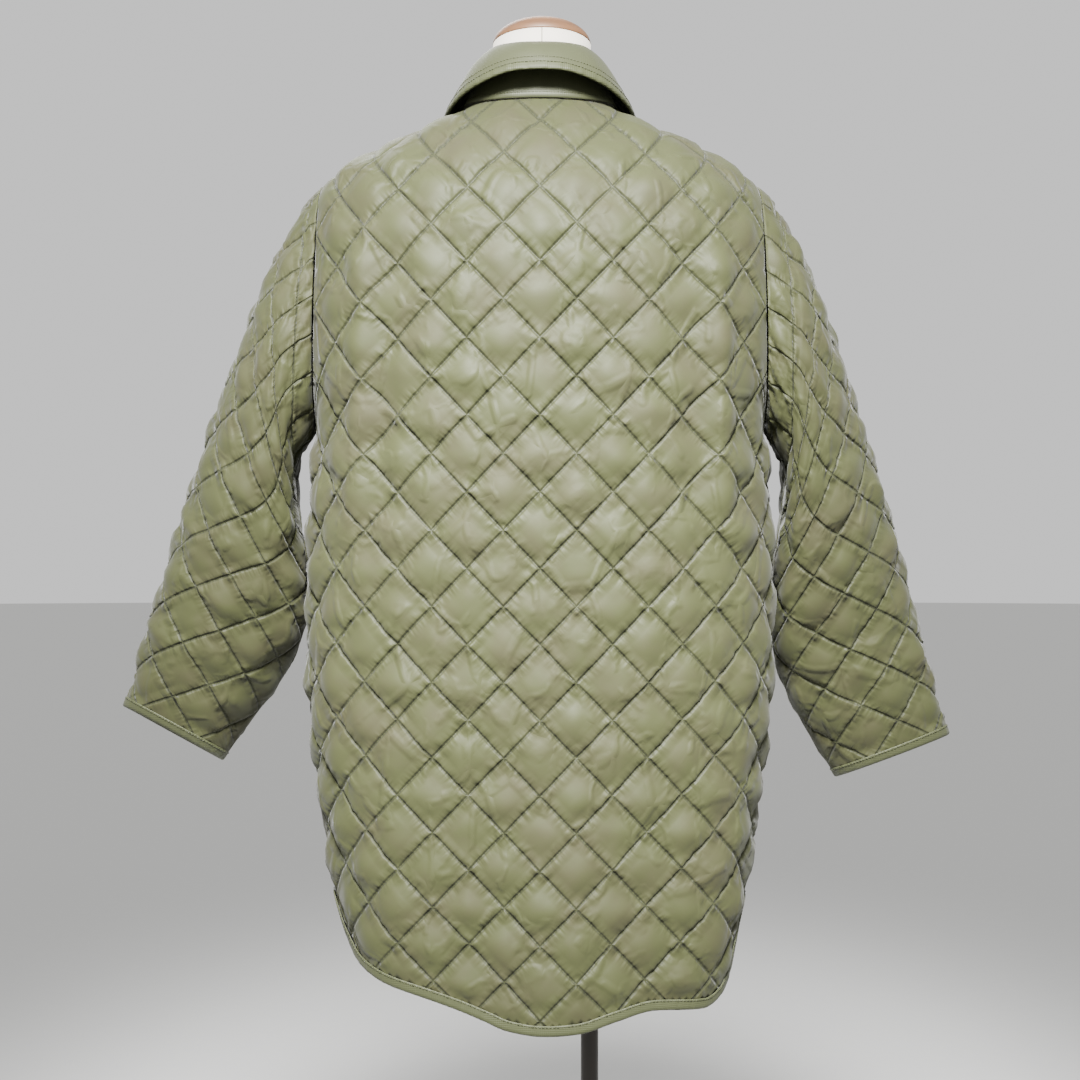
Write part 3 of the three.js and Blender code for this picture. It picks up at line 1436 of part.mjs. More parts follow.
addTape('binding_back_hem', rimAlong(backSolid.rim, ['hem']), -1, behindSeam);
addTape('binding_front_left', rimAlong(leftSolid.rim, ['hem', 'lap']), 1, beforeSeam);
addTape('binding_front_right', rimAlong(rightSolid.rim, ['hem', 'lap']), 1, beforeSeam);
addTape('binding_cuff_left', rimAlong(leftSleeve.rim, ['cuff']), 1);
addTape('binding_cuff_right', rimAlong(rightSleeve.rim, ['cuff']), -1);

const stand = thickGrid(standMiddles(), COLLAR_WALL, fromNeck);
addPiece('collar_stand', gridSolid(stand), sageCloth);
const fall = thickGrid(fallMiddles(), COLLAR_WALL, fromNeck);
addPiece('collar_fall', gridSolid(fall), sageCloth);
const fallWay = [
  ...fall[0],
  ...fall.slice(1, -1).map((line) => line[COLLAR_ROWS - 1]),
  ...[...fall[fall.length - 1]].reverse(),
];
addPiece('binding_collar', tapeSolid(fallWay, COLLAR_BINDING_WIDTH, -1, [-Infinity, Infinity]), sageTape);

addSnaps();

addPiece('form_torso', formTorso(), creamCloth);
addPiece('form_neck_cap', neckCap(), capWood);
const up = new THREE.Vector3(0, 0, 1);
const torsoFoot = FORM_SECTIONS[0].z + FORM_LIFT;
const socketNeck = SOCKET_RADIUS * SOCKET_NECK_SHARE;
const socketPlate = SOCKET_HEIGHT - SOCKET_PLATE;
const socketProfile = [
  [socketNeck, 0],
  [socketNeck, socketPlate],
  [SOCKET_RADIUS, socketPlate],
  [SOCKET_RADIUS, SOCKET_HEIGHT],
];
const socketFoot = torsoFoot - SEAM_GAP - SOCKET_HEIGHT;
const poleFoot = BASE_THICKNESS + HUB_HEIGHT + SEAM_GAP;
const poleProfile = [[POLE_RADIUS, 0], [POLE_RADIUS, socketFoot - SEAM_GAP - poleFoot]];
const baseProfile = [
  [BASE_RADIUS, 0],
  [BASE_RADIUS, BASE_THICKNESS - BASE_BEVEL],
  [BASE_RADIUS - BASE_BEVEL, BASE_THICKNESS],
  [HUB_RADIUS, BASE_THICKNESS],
  [HUB_RADIUS * HUB_TOP_SHARE, BASE_THICKNESS + HUB_HEIGHT],
];

function addTurned(name, profile, sides, foot) {
  const centre = new THREE.Vector3(POLE_X, POLE_Y, foot);
  addPiece(name, latheSolid(profile, sides, centre, up), brownPaint);
}

addTurned('form_socket', socketProfile, POLE_SIDES, socketFoot);
addTurned('form_pole', poleProfile, POLE_SIDES, poleFoot);
addTurned('form_base', baseProfile, BASE_SIDES, 0);

export default group;
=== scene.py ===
"""Quilted jacket on a dress form: cloth shells, trims, form and stand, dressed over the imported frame.

Sizes are in millimetres and turn to metres where a mesh is placed. The front faces -Y, the wearer's
left is +X and up is +Z. Flat cloth places are s, the distance round from a middle line, and z or v,
the height.
"""

import logging
import math
from dataclasses import dataclass, field
from enum import Enum
from typing import Callable, NamedTuple, Sequence

import bmesh
import bpy
import numpy as np
from mathutils import Matrix, Vector


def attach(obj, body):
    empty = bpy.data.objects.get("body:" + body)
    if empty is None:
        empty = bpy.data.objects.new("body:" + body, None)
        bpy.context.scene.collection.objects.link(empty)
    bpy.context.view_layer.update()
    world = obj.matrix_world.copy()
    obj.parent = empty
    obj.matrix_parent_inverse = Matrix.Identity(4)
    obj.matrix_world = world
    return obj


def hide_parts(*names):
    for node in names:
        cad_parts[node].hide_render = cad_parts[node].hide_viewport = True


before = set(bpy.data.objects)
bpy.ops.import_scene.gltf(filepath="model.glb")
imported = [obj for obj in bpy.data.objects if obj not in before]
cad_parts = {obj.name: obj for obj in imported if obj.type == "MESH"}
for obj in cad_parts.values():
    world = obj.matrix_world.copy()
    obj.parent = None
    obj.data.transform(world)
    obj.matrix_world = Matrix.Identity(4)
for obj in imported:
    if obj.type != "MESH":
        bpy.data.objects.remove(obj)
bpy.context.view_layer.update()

LOG = logging.getLogger("quilted_jacket")
MM = 0.001
TURN = 2 * math.pi
QUILT_MAP = "quilt"
# Bands of a wave texture in one unit at scale one
WAVE_TURN = 6.3

Array = np.ndarray
Mesh = bmesh.types.BMesh
Piece = bpy.types.Object
Socket = bpy.types.NodeSocket
# Distance or height at flat places s and z
Level = Callable[[Array, Array], Array]

# Cloth and quilting
CLOTH_WALL = 2.2
PUFF_HEIGHT = 7.8
SLEEVE_PUFF_HEIGHT = 5.8
DIAMOND_WIDTH = 73.0
BODY_DIAMOND_HEIGHT = 76.5
SLEEVE_DIAMOND_HEIGHT = 66.0
BACK_CROSSING_HEIGHT = 916.0
SLEEVE_CROSSING_HEIGHT = 0.45 * SLEEVE_DIAMOND_HEIGHT
SEAM_GAP = 0.3
ARMHOLE_GAP = 1.1
SEAM_FADE = 12.0
HEM_FADE = 20.0
NECK_FADE = 22.0
ARMHOLE_FADE = 24.0
FADE_START = -2.0
# Share of the quilting's height that is left at hem and neck
BOUND_SHARE = 0.06
# Bow of a crease and the shares of its length over which it rises and falls, all as shares of its length
CREASE_BOW = 0.05
CREASE_RISE = 0.3
CREASE_FALL = 0.6

# Body
SIDE_SEAM_Y = 12.0
SHOULDER_TIP = 1318.0
UNDERARM = 1060.0
ARMHOLE_TOP_X = 229.0
ARMHOLE_FOOT_X = 236.0
ARMHOLE_DEPTH = 75.0
BACK_NECK = 1400.0
FRONT_NECK = 1326.0
NECK_CURVE_POWER = 2.4
LAP_WIDTH = 18.0
LAP_INSET = 6.2
LAP_BLEND_START = LAP_WIDTH + 12.0
LAP_BLEND_END = 95.0

# Trims
BINDING_WIDTH = 9.5
COLLAR_BINDING_WIDTH = 8.0
BINDING_LIP = 2.4
BINDING_CLOTH = 0.5
COLLAR_WALL = 2.4
STITCH_LENGTH = 2.7
STITCH_PITCH = 3.7
THREAD_RADIUS = 0.42
THREAD_TAPER = 0.72
THREAD_RISE = 0.3
THREAD_SIDES = 5
STAND_RISE = 0.9
STAND_SIDE_RISE = 2.0
COLLAR_ROLL = 7.0
COLLAR_END_TURN = 175.0
SNAP_HEIGHTS = (1262.0, 1128.0, 994.0, 860.0, 726.0)
SNAP_RADIUS = 7.0
SNAP_THICKNESS = 2.6
SNAP_PLACE = 2.0

# Dress form and stand
FORM_LIFT = 2.2
CAP_RISE = 26.5
POLE_X = -53.0
POLE_Y = 2.0
POLE_RADIUS = 9.4
SOCKET_RADIUS = 26.0
SOCKET_HEIGHT = 24.0
BASE_RADIUS = 185.0
BASE_THICKNESS = 8.0
BASE_BEVEL = 2.5
HUB_RADIUS = 24.0
HUB_HEIGHT = 22.0

# Camera of the photograph
CAMERA_DISTANCE = 2250.0
CAMERA_HEIGHT = 945.0
CAMERA_LENS = 70.0
CAMERA_SENSOR = 36.0

# Height at which the lights are aimed
AIM_HEIGHT = 880.0


class BodySection(NamedTuple):
    """Level section of the jacket's body."""

    z: float
    half_width: float
    back: float
    front: float
    roundness: float


class HemPoint(NamedTuple):
    """Height of the hem at a share of the way from the middle to the side seam."""

    share: float
    z: float


class SleeveSection(NamedTuple):
    """Section of a sleeve by its outer and inner point seen from behind."""

    outer_x: float
    outer_z: float
    inner_x: float
    inner_z: float
    y: float
    depth: float
    tilt: float


class CollarStation(NamedTuple):
    """Fold line and outer edge of the collar at a turn about the neck."""

    turn: float
    fold_x: float
    fold_y: float
    fold_z: float
    edge_x: float
    edge_y: float
    edge_z: float


class FormSection(NamedTuple):
    """Level section of the dress form."""

    z: float
    half_width: float
    back: float
    front: float
    y: float


class Crease(NamedTuple):
    """One crease on flat cloth, from one place to another, raised if its height is positive."""

    s0: float
    z0: float
    s1: float
    z1: float
    width: float
    height: float


def rows_of(kind: type[NamedTuple], *rows: tuple[float, ...]) -> tuple[NamedTuple, ...]:
    """Table of one kind of row.

    Args:
        kind: The kind.
        rows: The values of each row.

    Returns:
        The rows.
    """
    return tuple(kind(*row) for row in rows)


BODY_SECTIONS = rows_of(
    BodySection,
    (400, 183, 100, 132, 2.3), (460, 193, 106, 137, 2.3), (519, 206, 110, 140, 2.35),
    (578, 217, 115, 144, 2.35), (671, 230, 122, 148, 2.4), (800, 243, 134, 154, 2.4),
    (891, 244, 143, 158, 2.4), (973, 241, 150, 159, 2.4), (1060, 236, 157, 157, 2.35),
    (1120, 248, 160, 153, 2.3), (1180, 254, 161, 147, 2.3), (1240, 253, 158, 132, 2.25),
    (1290, 246, 147, 112, 2.2), (1318, 229, 134, 94, 2.15), (1339, 198, 121, 80, 2.1),
    (1357, 167, 107, 71, 2.1), (1370, 139, 96, 66, 2.1), (1388, 102, 79, 59, 2.1),
    (1400, 80, 68, 55, 2.1), (1420, 60, 52, 48, 2.1),
)

BACK_HEM = rows_of(
    HemPoint,
    (-1, 568), (-0.95, 558), (-0.9, 532), (-0.85, 503), (-0.79, 481), (-0.7, 471), (-0.5, 472),
    (-0.3, 462), (-0.15, 453), (0, 451), (0.12, 454), (0.22, 463), (0.32, 473), (0.5, 490),
    (0.66, 502), (0.8, 516), (0.88, 537), (0.92, 555), (0.96, 570), (1, 574),
)
FRONT_HEM = rows_of(
    HemPoint,
    (0, 520), (0.5, 523), (0.8, 534), (0.94, 566), (1, 570),
)

LEFT_SLEEVE_SECTIONS = rows_of(
    SleeveSection,
    (249, 1293, 253, 1043, 12, 80, 0), (279, 1243, 263, 1019, 9, 80, 0),
    (312, 1166, 262, 986, 1, 76, 0), (344, 1086, 258, 953, -10, 72, 0),
    (374, 1004, 255, 915, -24, 68, 0), (402, 927, 256, 862, -41, 62, 0),
    (428, 853, 278, 806, -60, 54, 0.05), (446, 797, 318, 751, -77, 46, 0.12),
    (458, 768, 350, 709, -87, 38, 0.2),
)
RIGHT_SLEEVE_SECTIONS = rows_of(
    SleeveSection,
    (249, 1293, 253, 1043, 12, 80, 0), (277, 1246, 263, 1017, 9, 80, 0),
    (305, 1179, 262, 980, 1, 76, 0), (331, 1107, 258, 945, -10, 72, 0),
    (358, 1032, 255, 908, -24, 68, 0), (384, 955, 254, 861, -41, 62, 0),
    (407, 877, 262, 808, -60, 54, 0.05), (430, 799, 290, 748, -77, 47, 0.1),
    (451, 737, 327, 690, -92, 38, 0.1),
)

COLLAR_STATIONS = rows_of(
    CollarStation,
    (0, 0, 60, 1462, 0, 97, 1434), (13, 13.5, 59.2, 1462, 20.5, 95.2, 1433.4),
    (45, 43, 45, 1461, 66, 72, 1422), (90, 56, 10, 1456, 97, 16, 1402),
    (108, 56, -8, 1448, 101, -20, 1396), (125, 53.5, -26, 1432, 99, -52, 1375),
    (155, 37, -52, 1397, 74, -92, 1326), (175, 9, -68, 1364, 46, -118, 1288),
)

FORM_SECTIONS = rows_of(
    FormSection,
    (640, 148, 92, 84, 2), (700, 160, 101, 92, 2), (780, 152, 94, 88, 2), (900, 124, 74, 80, 4),
    (1020, 138, 84, 100, 6), (1120, 158, 96, 118, 6), (1200, 174, 104, 104, 10),
    (1260, 190, 102, 84, 12), (1300, 200, 88, 66, 12), (1322, 196, 76, 54, 12),
    (1339, 178, 66, 48, 12), (1356, 148, 58, 44, 12), (1370, 121, 54, 42, 12),
    (1386, 86, 50, 42, 13), (1400, 60, 48, 44, 12), (1425, 52, 47, 46, 8),
)

# Main creases of the body: long hanging ones first, then short ones that cross the diamonds
BACK_CREASES = rows_of(
    Crease,
    (196, 1230, 214, 930, 13, 2.6), (-190, 1240, -212, 900, 14, 2.9),
    (150, 1120, 172, 860, 9, -1.7), (-146, 1090, -176, 880, 10, -1.8),
    (226, 900, 196, 640, 15, 2.2), (-238, 860, -214, 600, 14, 2.0), (64, 1010, 52, 760, 6, 1.5),
    (-58, 1030, -48, 800, 5, -1.4), (104, 940, 112, 700, 6, -1.5), (-112, 900, -118, 640, 6, 1.6),
    (12, 900, -8, 690, 5, 1.1), (74, 680, 60, 520, 8, 1.7), (-84, 700, -64, 540, 8, -1.6),
    (158, 640, 150, 520, 9, 1.8), (120, 1335, 236, 1270, 10, 1.5),
    (-124, 1338, -230, 1276, 10, 1.4), (52, 1372, 120, 1300, 6, -1.2),
    (-44, 1370, -118, 1312, 7, -1.2), (-20, 1260, 34, 1180, 5, 1.0), (28, 1120, -36, 1066, 5, 0.9),
    (-210, 1040, -250, 980, 7, 1.5), (222, 1060, 262, 990, 7, 1.6),
)
FRONT_CREASES = rows_of(
    Crease,
    (188, 1200, 210, 900, 13, 2.6), (140, 1100, 160, 840, 9, -1.7), (216, 880, 200, 640, 14, 2.2),
    (78, 1080, 70, 820, 6, 1.4), (110, 900, 116, 660, 6, -1.4), (56, 780, 66, 600, 7, 1.5),
    (92, 1290, 190, 1220, 9, 1.4), (150, 640, 142, 550, 8, 1.5),
)
SLEEVE_CREASES = rows_of(
    Crease,
    (92, 520, 30, 430, 9, 2.4), (150, 450, 60, 380, 8, 2.1), (120, 360, 40, 330, 7, -1.9),
    (140, 280, 50, 300, 9, 2.2), (96, 210, 10, 236, 7, 1.8), (120, 150, 30, 120, 8, -1.6),
    (70, 90, -20, 110, 7, 1.4), (-60, 500, -130, 410, 9, 2.2), (-40, 390, -140, 350, 8, 2.0),
    (-50, 300, -130, 270, 8, -1.8), (-20, 200, -110, 180, 8, 1.8), (10, 620, 60, 520, 8, 1.5),
    (-20, 600, -80, 500, 8, 1.5),
)


class Side(Enum):
    """Back or front half of the body; its value is the sign of its depth."""

    BACK = 1
    FRONT = -1


class Hand(Enum):
    """Wearer's left or right; its value is the sign of x."""

    LEFT = 1
    RIGHT = -1

    @property
    def word(self) -> str:
        """Its name in the names of pieces."""
        return self.name.lower()

    @property
    def mirror(self) -> Array:
        """Scale that turns the +X side to this one."""
        return np.array([self.value, 1, 1])


def ease(low: float, high: float, value: Array) -> Array:
    """Smooth share of the way from low to high.

    Args:
        low: The value that gives nought.
        high: The value that gives one.
        value: The places to read.

    Returns:
        Shares from 0 to 1.
    """
    share = np.clip((np.asarray(value, float) - low) / (high - low), 0, 1)
    return share * share * (3 - 2 * share)


def unit(vectors: Array) -> Array:
    """Vectors of length one.

    Args:
        vectors: Rows of x, y and z.

    Returns:
        The rows, each divided by its length.
    """
    return vectors / np.maximum(np.linalg.norm(vectors, axis=-1, keepdims=True), 1e-9)


def hermite(t: Array, start: Array, leave: Array, end: Array, arrive: Array) -> Array:
    """Smooth curve from one value to the next.

    Args:
        t: Share of the way.
        start: The first value.
        leave: The slope there.
        end: The second value.
        arrive: The slope there.

    Returns:
        The values on the way.
    """
    t2, t3 = t * t, t * t * t
    near, far = 2 * t3 - 3 * t2 + 1, 3 * t2 - 2 * t3
    return near * start + (t3 - 2 * t2 + t) * leave + far * end + (t3 - t2) * arrive


def between(table: Array, i: Array, j: Array) -> Array:
    """Value of a table between its places.

    Args:
        table: Values by row and column.
        i: Places among the rows.
        j: Places among the columns.

    Returns:
        The blended values.
    """
    i0 = np.clip(i.astype(int), 0, table.shape[0] - 2)
    j0 = np.clip(j.astype(int), 0, table.shape[1] - 2)
    u, v = i - i0, j - j0
    if table.ndim == 3:
        u, v = u[:, None], v[:, None]
    low = table[i0, j0] * (1 - v) + table[i0, j0 + 1] * v
    high = table[i0 + 1, j0] * (1 - v) + table[i0 + 1, j0 + 1] * v
    return low * (1 - u) + high * u


class Profile:
    """Smooth value along a short table, without overshoot between its rows."""

    def __init__(self, rows: Sequence[NamedTuple], key: str, name: str) -> None:
        """Reads one column.

        Args:
            rows: The table, in rising order of its key.
            key: The column that is read along.
            name: The column that is read out.
        """
        self.at = np.array([getattr(row, key) for row in rows], float)
        self.value = np.array([getattr(row, name) for row in rows], float)
        slope = np.diff(self.value) / np.diff(self.at)
        before, after = slope[:-1], slope[1:]
        same = before * after > 0
        inner = np.zeros_like(before)
        inner[same] = 2 * before[same] * after[same] / (before[same] + after[same])
        self.tangent = np.concatenate(([slope[0]], inner, [slope[-1]]))

    def __call__(self, at: Array) -> Array:
        """Value at each place.

        Args:
            at: Places along the key.

        Returns:
            The smooth values there.
        """
        place = np.clip(np.asarray(at, float), self.at[0], self.at[-1])
        row = np.clip(np.searchsorted(self.at, place, side="right") - 1, 0, len(self.at) - 2)
        span = self.at[row + 1] - self.at[row]
        t = (place - self.at[row]) / span
        leave, arrive = span * self.tangent[row], span * self.tangent[row + 1]
        return hermite(t, self.value[row], leave, self.value[row + 1], arrive)


def crease_height(creases: Sequence[Crease], s: Array, z: Array) -> Array:
    """Height of all the creases at flat places.

    Args:
        creases: The creases.
        s: Distances round.
        z: Heights.

    Returns:
        Millimetres out of the surface.
    """
    total = np.zeros_like(s)
    for crease in creases:
        run = np.array([crease.s1 - crease.s0, crease.z1 - crease.z0])
        length = float(np.hypot(*run))
        along = ((s - crease.s0) * run[0] + (z - crease.z0) * run[1]) / length
        bow = CREASE_BOW * length * np.sin(math.pi * np.clip(along / length, 0, 1))
        across = ((s - crease.s0) * run[1] - (z - crease.z0) * run[0]) / length + bow
        window = ease(0, CREASE_RISE * length, along) * ease(length, CREASE_FALL * length, along)
        total += crease.height * window * np.exp(-((across / crease.width) ** 2))
    return total


class Crumple:
    """Uneven slack of a light cloth, as many small crossing waves."""

    SHARPNESS = 0.8

    def __init__(self, seed: int, waves: int = 26, shortest: float = 19.0, longest: float = 66.0) -> None:
        """Draws the waves.

        Args:
            seed: The seed of the draw.
            waves: How many waves there are.
            shortest: The shortest wave length.
            longest: The longest wave length.
        """
        draw = np.random.default_rng(seed)
        turn = draw.uniform(0, math.pi, waves)
        length = draw.uniform(shortest, longest, waves)
        self.across = TURN / length * np.cos(turn)
        self.up = TURN / length * np.sin(turn)
        self.phase = draw.uniform(0, TURN, waves)
        self.size = length / longest / math.sqrt(waves)

    def __call__(self, s: Array, z: Array) -> Array:
        """Height from about -1 to 1.

        Args:
            s: Distances round.
            z: Heights.

        Returns:
            The summed waves, each drawn to a sharp crest.
        """
        total = np.zeros_like(s)
        for across, up, phase, size in zip(self.across, self.up, self.phase, self.size):
            total += size * (1 - 2 * np.abs(np.sin((across * s + up * z + phase) / 2)) ** self.SHARPNESS)
        return total


# Meshes


def flat_places(bm: Mesh) -> Array:
    """Points of a mesh.

    Args:
        bm: The mesh.

    Returns:
        Rows of x, y and z.
    """
    return np.array([vert.co for vert in bm.verts], float)


def set_points(bm: Mesh, points: Array) -> None:
    """Moves the points of a mesh.

    Args:
        bm: The mesh.
        points: Rows of x, y and z, one a point.
    """
    for vert, point in zip(bm.verts, points):
        vert.co = point


def grid_mesh(points: Array, wrap: bool = False, tube: bool = False) -> Mesh:
    """Grid laid through an array of points.

    Args:
        points: Rows and columns of points in millimetres.
        wrap: Whether the last row joins the first.
        tube: Whether the last column joins the first.

    Returns:
        The mesh in metres.
    """
    rows, columns = points.shape[0], points.shape[1]
    across = rows if wrap else rows - 1
    up = columns if tube else columns - 1
    bm = bmesh.new()
    bmesh.ops.create_grid(bm, x_segments=across, y_segments=up, size=1)
    place = flat_places(bm)
    i = np.rint((place[:, 0] + 1) / 2 * across).astype(int) % rows
    j = np.rint((place[:, 1] + 1) / 2 * up).astype(int) % columns
    set_points(bm, points[i, j] * MM)
    if wrap or tube:
        bmesh.ops.remove_doubles(bm, verts=bm.verts, dist=1e-7)
    return bm


def closed_mesh(points: Array) -> Mesh:
    """Tube through rings of points, closed at both ends.

    Args:
        points: Rings of points in millimetres.

    Returns:
        The closed mesh in metres.
    """
    bm = grid_mesh(points, tube=True)
    bmesh.ops.remove_doubles(bm, verts=bm.verts, dist=2e-6)
    bmesh.ops.holes_fill(bm, edges=bm.edges, sides=0)
    bmesh.ops.recalc_face_normals(bm, faces=bm.faces)
    return bm


def turned_mesh(profile: Sequence[tuple[float, float]], steps: int) -> Mesh:
    """Shape turned about the upright axis.

    Args:
        profile: Radius and height of each point, from foot to top, in millimetres.
        steps: Divisions of the full turn.

    Returns:
        The closed mesh in metres, about its own axis.
    """
    bm = bmesh.new()
    verts = [bm.verts.new((radius * MM, 0, height * MM)) for radius, height in profile]
    edges = [bm.edges.new(pair) for pair in zip(verts, verts[1:])]
    bmesh.ops.spin(
        bm,
        geom=verts + edges,
        cent=(0, 0, 0),
        axis=(0, 0, 1),
        angle=TURN,
        steps=steps,
        use_merge=True,
    )
    bmesh.ops.remove_doubles(bm, verts=bm.verts, dist=1e-6)
    bmesh.ops.recalc_face_normals(bm, faces=bm.faces)
    return bm


def face_outwards(bm: Mesh, outward: Array) -> None:
    """Turns an open sheet's faces to the outside.

    Args:
        bm: The sheet.
        outward: The outside direction at each point.
    """
    bm.normal_update()
    normals = np.array([vert.normal for vert in bm.verts], float)
    if float((normals * outward).sum()) < 0:
        bmesh.ops.reverse_faces(bm, faces=bm.faces)


def make_piece(name: str, bm: Mesh, finish: "Finish") -> Piece:
    """Object with its finish.

    Args:
        name: Its name.
        bm: Its mesh, which is used up.
        finish: Its finish.

    Returns:
        The new object.
    """
    mesh = bpy.data.meshes.new(name)
    bm.to_mesh(mesh)
    bm.free()
    mesh.shade_smooth()
    mesh.materials.append(finish.material())
    piece = bpy.data.objects.new(name, mesh)
    bpy.context.scene.collection.objects.link(piece)
    return piece


def thicken(piece: Piece, wall: float, offset: float) -> None:
    """Gives a sheet its thickness.

    Args:
        piece: The sheet.
        wall: Its thickness in millimetres.
        offset: -1 to grow inwards, 0 to grow both ways.
    """
    shell = piece.modifiers.new("cloth thickness", "SOLIDIFY")
    shell.thickness = wall * MM
    shell.offset = offset
    shell.use_even_offset = False


def seat(piece: Piece, slot: str, *nodes: str) -> None:
    """Puts a piece on the frame in place of its solids.

    Args:
        piece: The piece.
        slot: Its material slot; not used.
        nodes: The solids that it stands for.
    """
    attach(piece, "root")
    if nodes:
        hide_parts(*nodes)
    LOG.info("%s: %d faces", piece.name, len(piece.data.polygons))


def sew(
    bm: Mesh,
    points: Array,
    normals: Array,
    pitch: float = STITCH_PITCH,
) -> None:
    """Lays a row of stitches along a line.

    Args:
        bm: The mesh that takes the stitches.
        points: The line in millimetres.
        normals: The way out of the cloth at each point.
        pitch: The distance from one stitch to the next.
    """
    run = np.concatenate(([0], np.cumsum(np.linalg.norm(np.diff(points, axis=0), axis=1))))
    count = int(run[-1] / pitch)
    for step in range(count):
        at = (step + 0.5) * pitch
        middle = np.array([np.interp(at, run, points[:, k]) for k in range(3)])
        ahead = np.array([np.interp(at + 1, run, points[:, k]) for k in range(3)])
        out = np.array([np.interp(at, run, normals[:, k]) for k in range(3)])
        way = Vector(ahead - middle)
        if way.length < 1e-6:
            continue
        turn = way.to_track_quat("Z", "Y").to_matrix().to_4x4()
        place = Matrix.Translation(Vector((middle + out * THREAD_RADIUS * THREAD_RISE) * MM))
        bmesh.ops.create_cone(
            bm,
            cap_ends=True,
            segments=THREAD_SIDES,
            radius1=THREAD_RADIUS * MM,
            radius2=THREAD_RADIUS * THREAD_TAPER * MM,
            depth=STITCH_LENGTH * MM,
            matrix=place @ turn,
        )


# Finishes


def per_metre(size: float) -> float:
    """Texture scale for marks of a size.

    Args:
        size: The size in millimetres.

    Returns:
        How many of them go into a metre.
    """
    return 1 / (size * MM)


def linear(code: str) -> tuple[float, float, float, float]:
    """Linear colour of an sRGB hex code.

    Args:
        code: Six hex digits.

    Returns:
        Linear red, green and blue, and an alpha of one.
    """
    parts = [int(code[at : at + 2], 16) / 255 for at in (0, 2, 4)]
    red, green, blue = [v / 12.92 if v <= 0.04045 else ((v + 0.055) / 1.055) ** 2.4 for v in parts]
    return (red, green, blue, 1.0)




class Net:
    """Nodes of one material, ending in its shader."""

    def __init__(self, tree: bpy.types.NodeTree, even: dict[str, object]) -> None:
        """Clears the tree and adds shader and output.

        Args:
            tree: The node tree.
            even: The shader's values that are the same all over.
        """
        self.tree = tree
        tree.nodes.clear()
        self.shader = self.add("BsdfPrincipled", even)
        self.add("OutputMaterial", {"Surface": self.shader.outputs["BSDF"]})
        self.place = self.add("TexCoord", {}).outputs["Object"]

    def add(self, kind: str, inputs: dict[object, object], **settings: object) -> bpy.types.Node:
        """Adds a node with its settings and links.

        Args:
            kind: The shader node's type.
            inputs: Values or output sockets, by input name or number.
            settings: Its own settings by name.

        Returns:
            The new node.
        """
        node = self.tree.nodes.new(f"ShaderNode{kind}")
        for name, value in settings.items():
            setattr(node, name, value)
        for name, value in inputs.items():
            if isinstance(value, Socket):
                self.tree.links.new(value, node.inputs[name])
            else:
                node.inputs[name].default_value = value
        return node

    def set(self, name: str, value: Socket) -> None:
        """Links a pattern to an input of the shader.

        Args:
            name: The input.
            value: The pattern.
        """
        self.tree.links.new(value, self.shader.inputs[name])

    def weave(
        self, size: float, depth: float, strength: float, distortion: float, under: Socket
    ) -> Socket:
        """Crossed threads in relief.

        Args:
            size: Width of a thread in millimetres.
            depth: Depth in metres.
            strength: Its share.
            distortion: How far the threads wander.
            under: Relief that they lie on.

        Returns:
            The relief.
        """
        for direction in ("X", "Z"):
            inputs = {"Vector": self.place, "Scale": per_metre(size) / WAVE_TURN, "Detail": 1.0}
            threads = self.add("TexWave", inputs | {"Distortion": distortion}, bands_direction=direction)
            inputs = {"Height": threads.outputs["Fac"], "Distance": depth, "Strength": strength}
            under = self.add("Bump", inputs | {"Normal": under}).outputs[0]
        return under


@dataclass(frozen=True)
class Finish:
    """A material with the values that are the same all over it."""

    name: str
    colour: str
    roughness: float
    sheen: float = 0.0
    specular: float = 0.5

    def material(self) -> bpy.types.Material:
        """The material, made once."""
        known = bpy.data.materials.get(self.name)
        if known is not None:
            return known
        material = bpy.data.materials.new(self.name)
        material.use_nodes = True
        even = {
            "Base Color": linear(self.colour),
            "Roughness": self.roughness,
            "Sheen Weight": self.sheen,
            "Sheen Roughness": 0.45,
            "Specular IOR Level": self.specular,
        }
        self.paint(Net(material.node_tree, even))
        return material

    def paint(self, net: Net) -> None:
        """Adds the pattern of the finish.

        Args:
            net: The nodes that take it.
        """


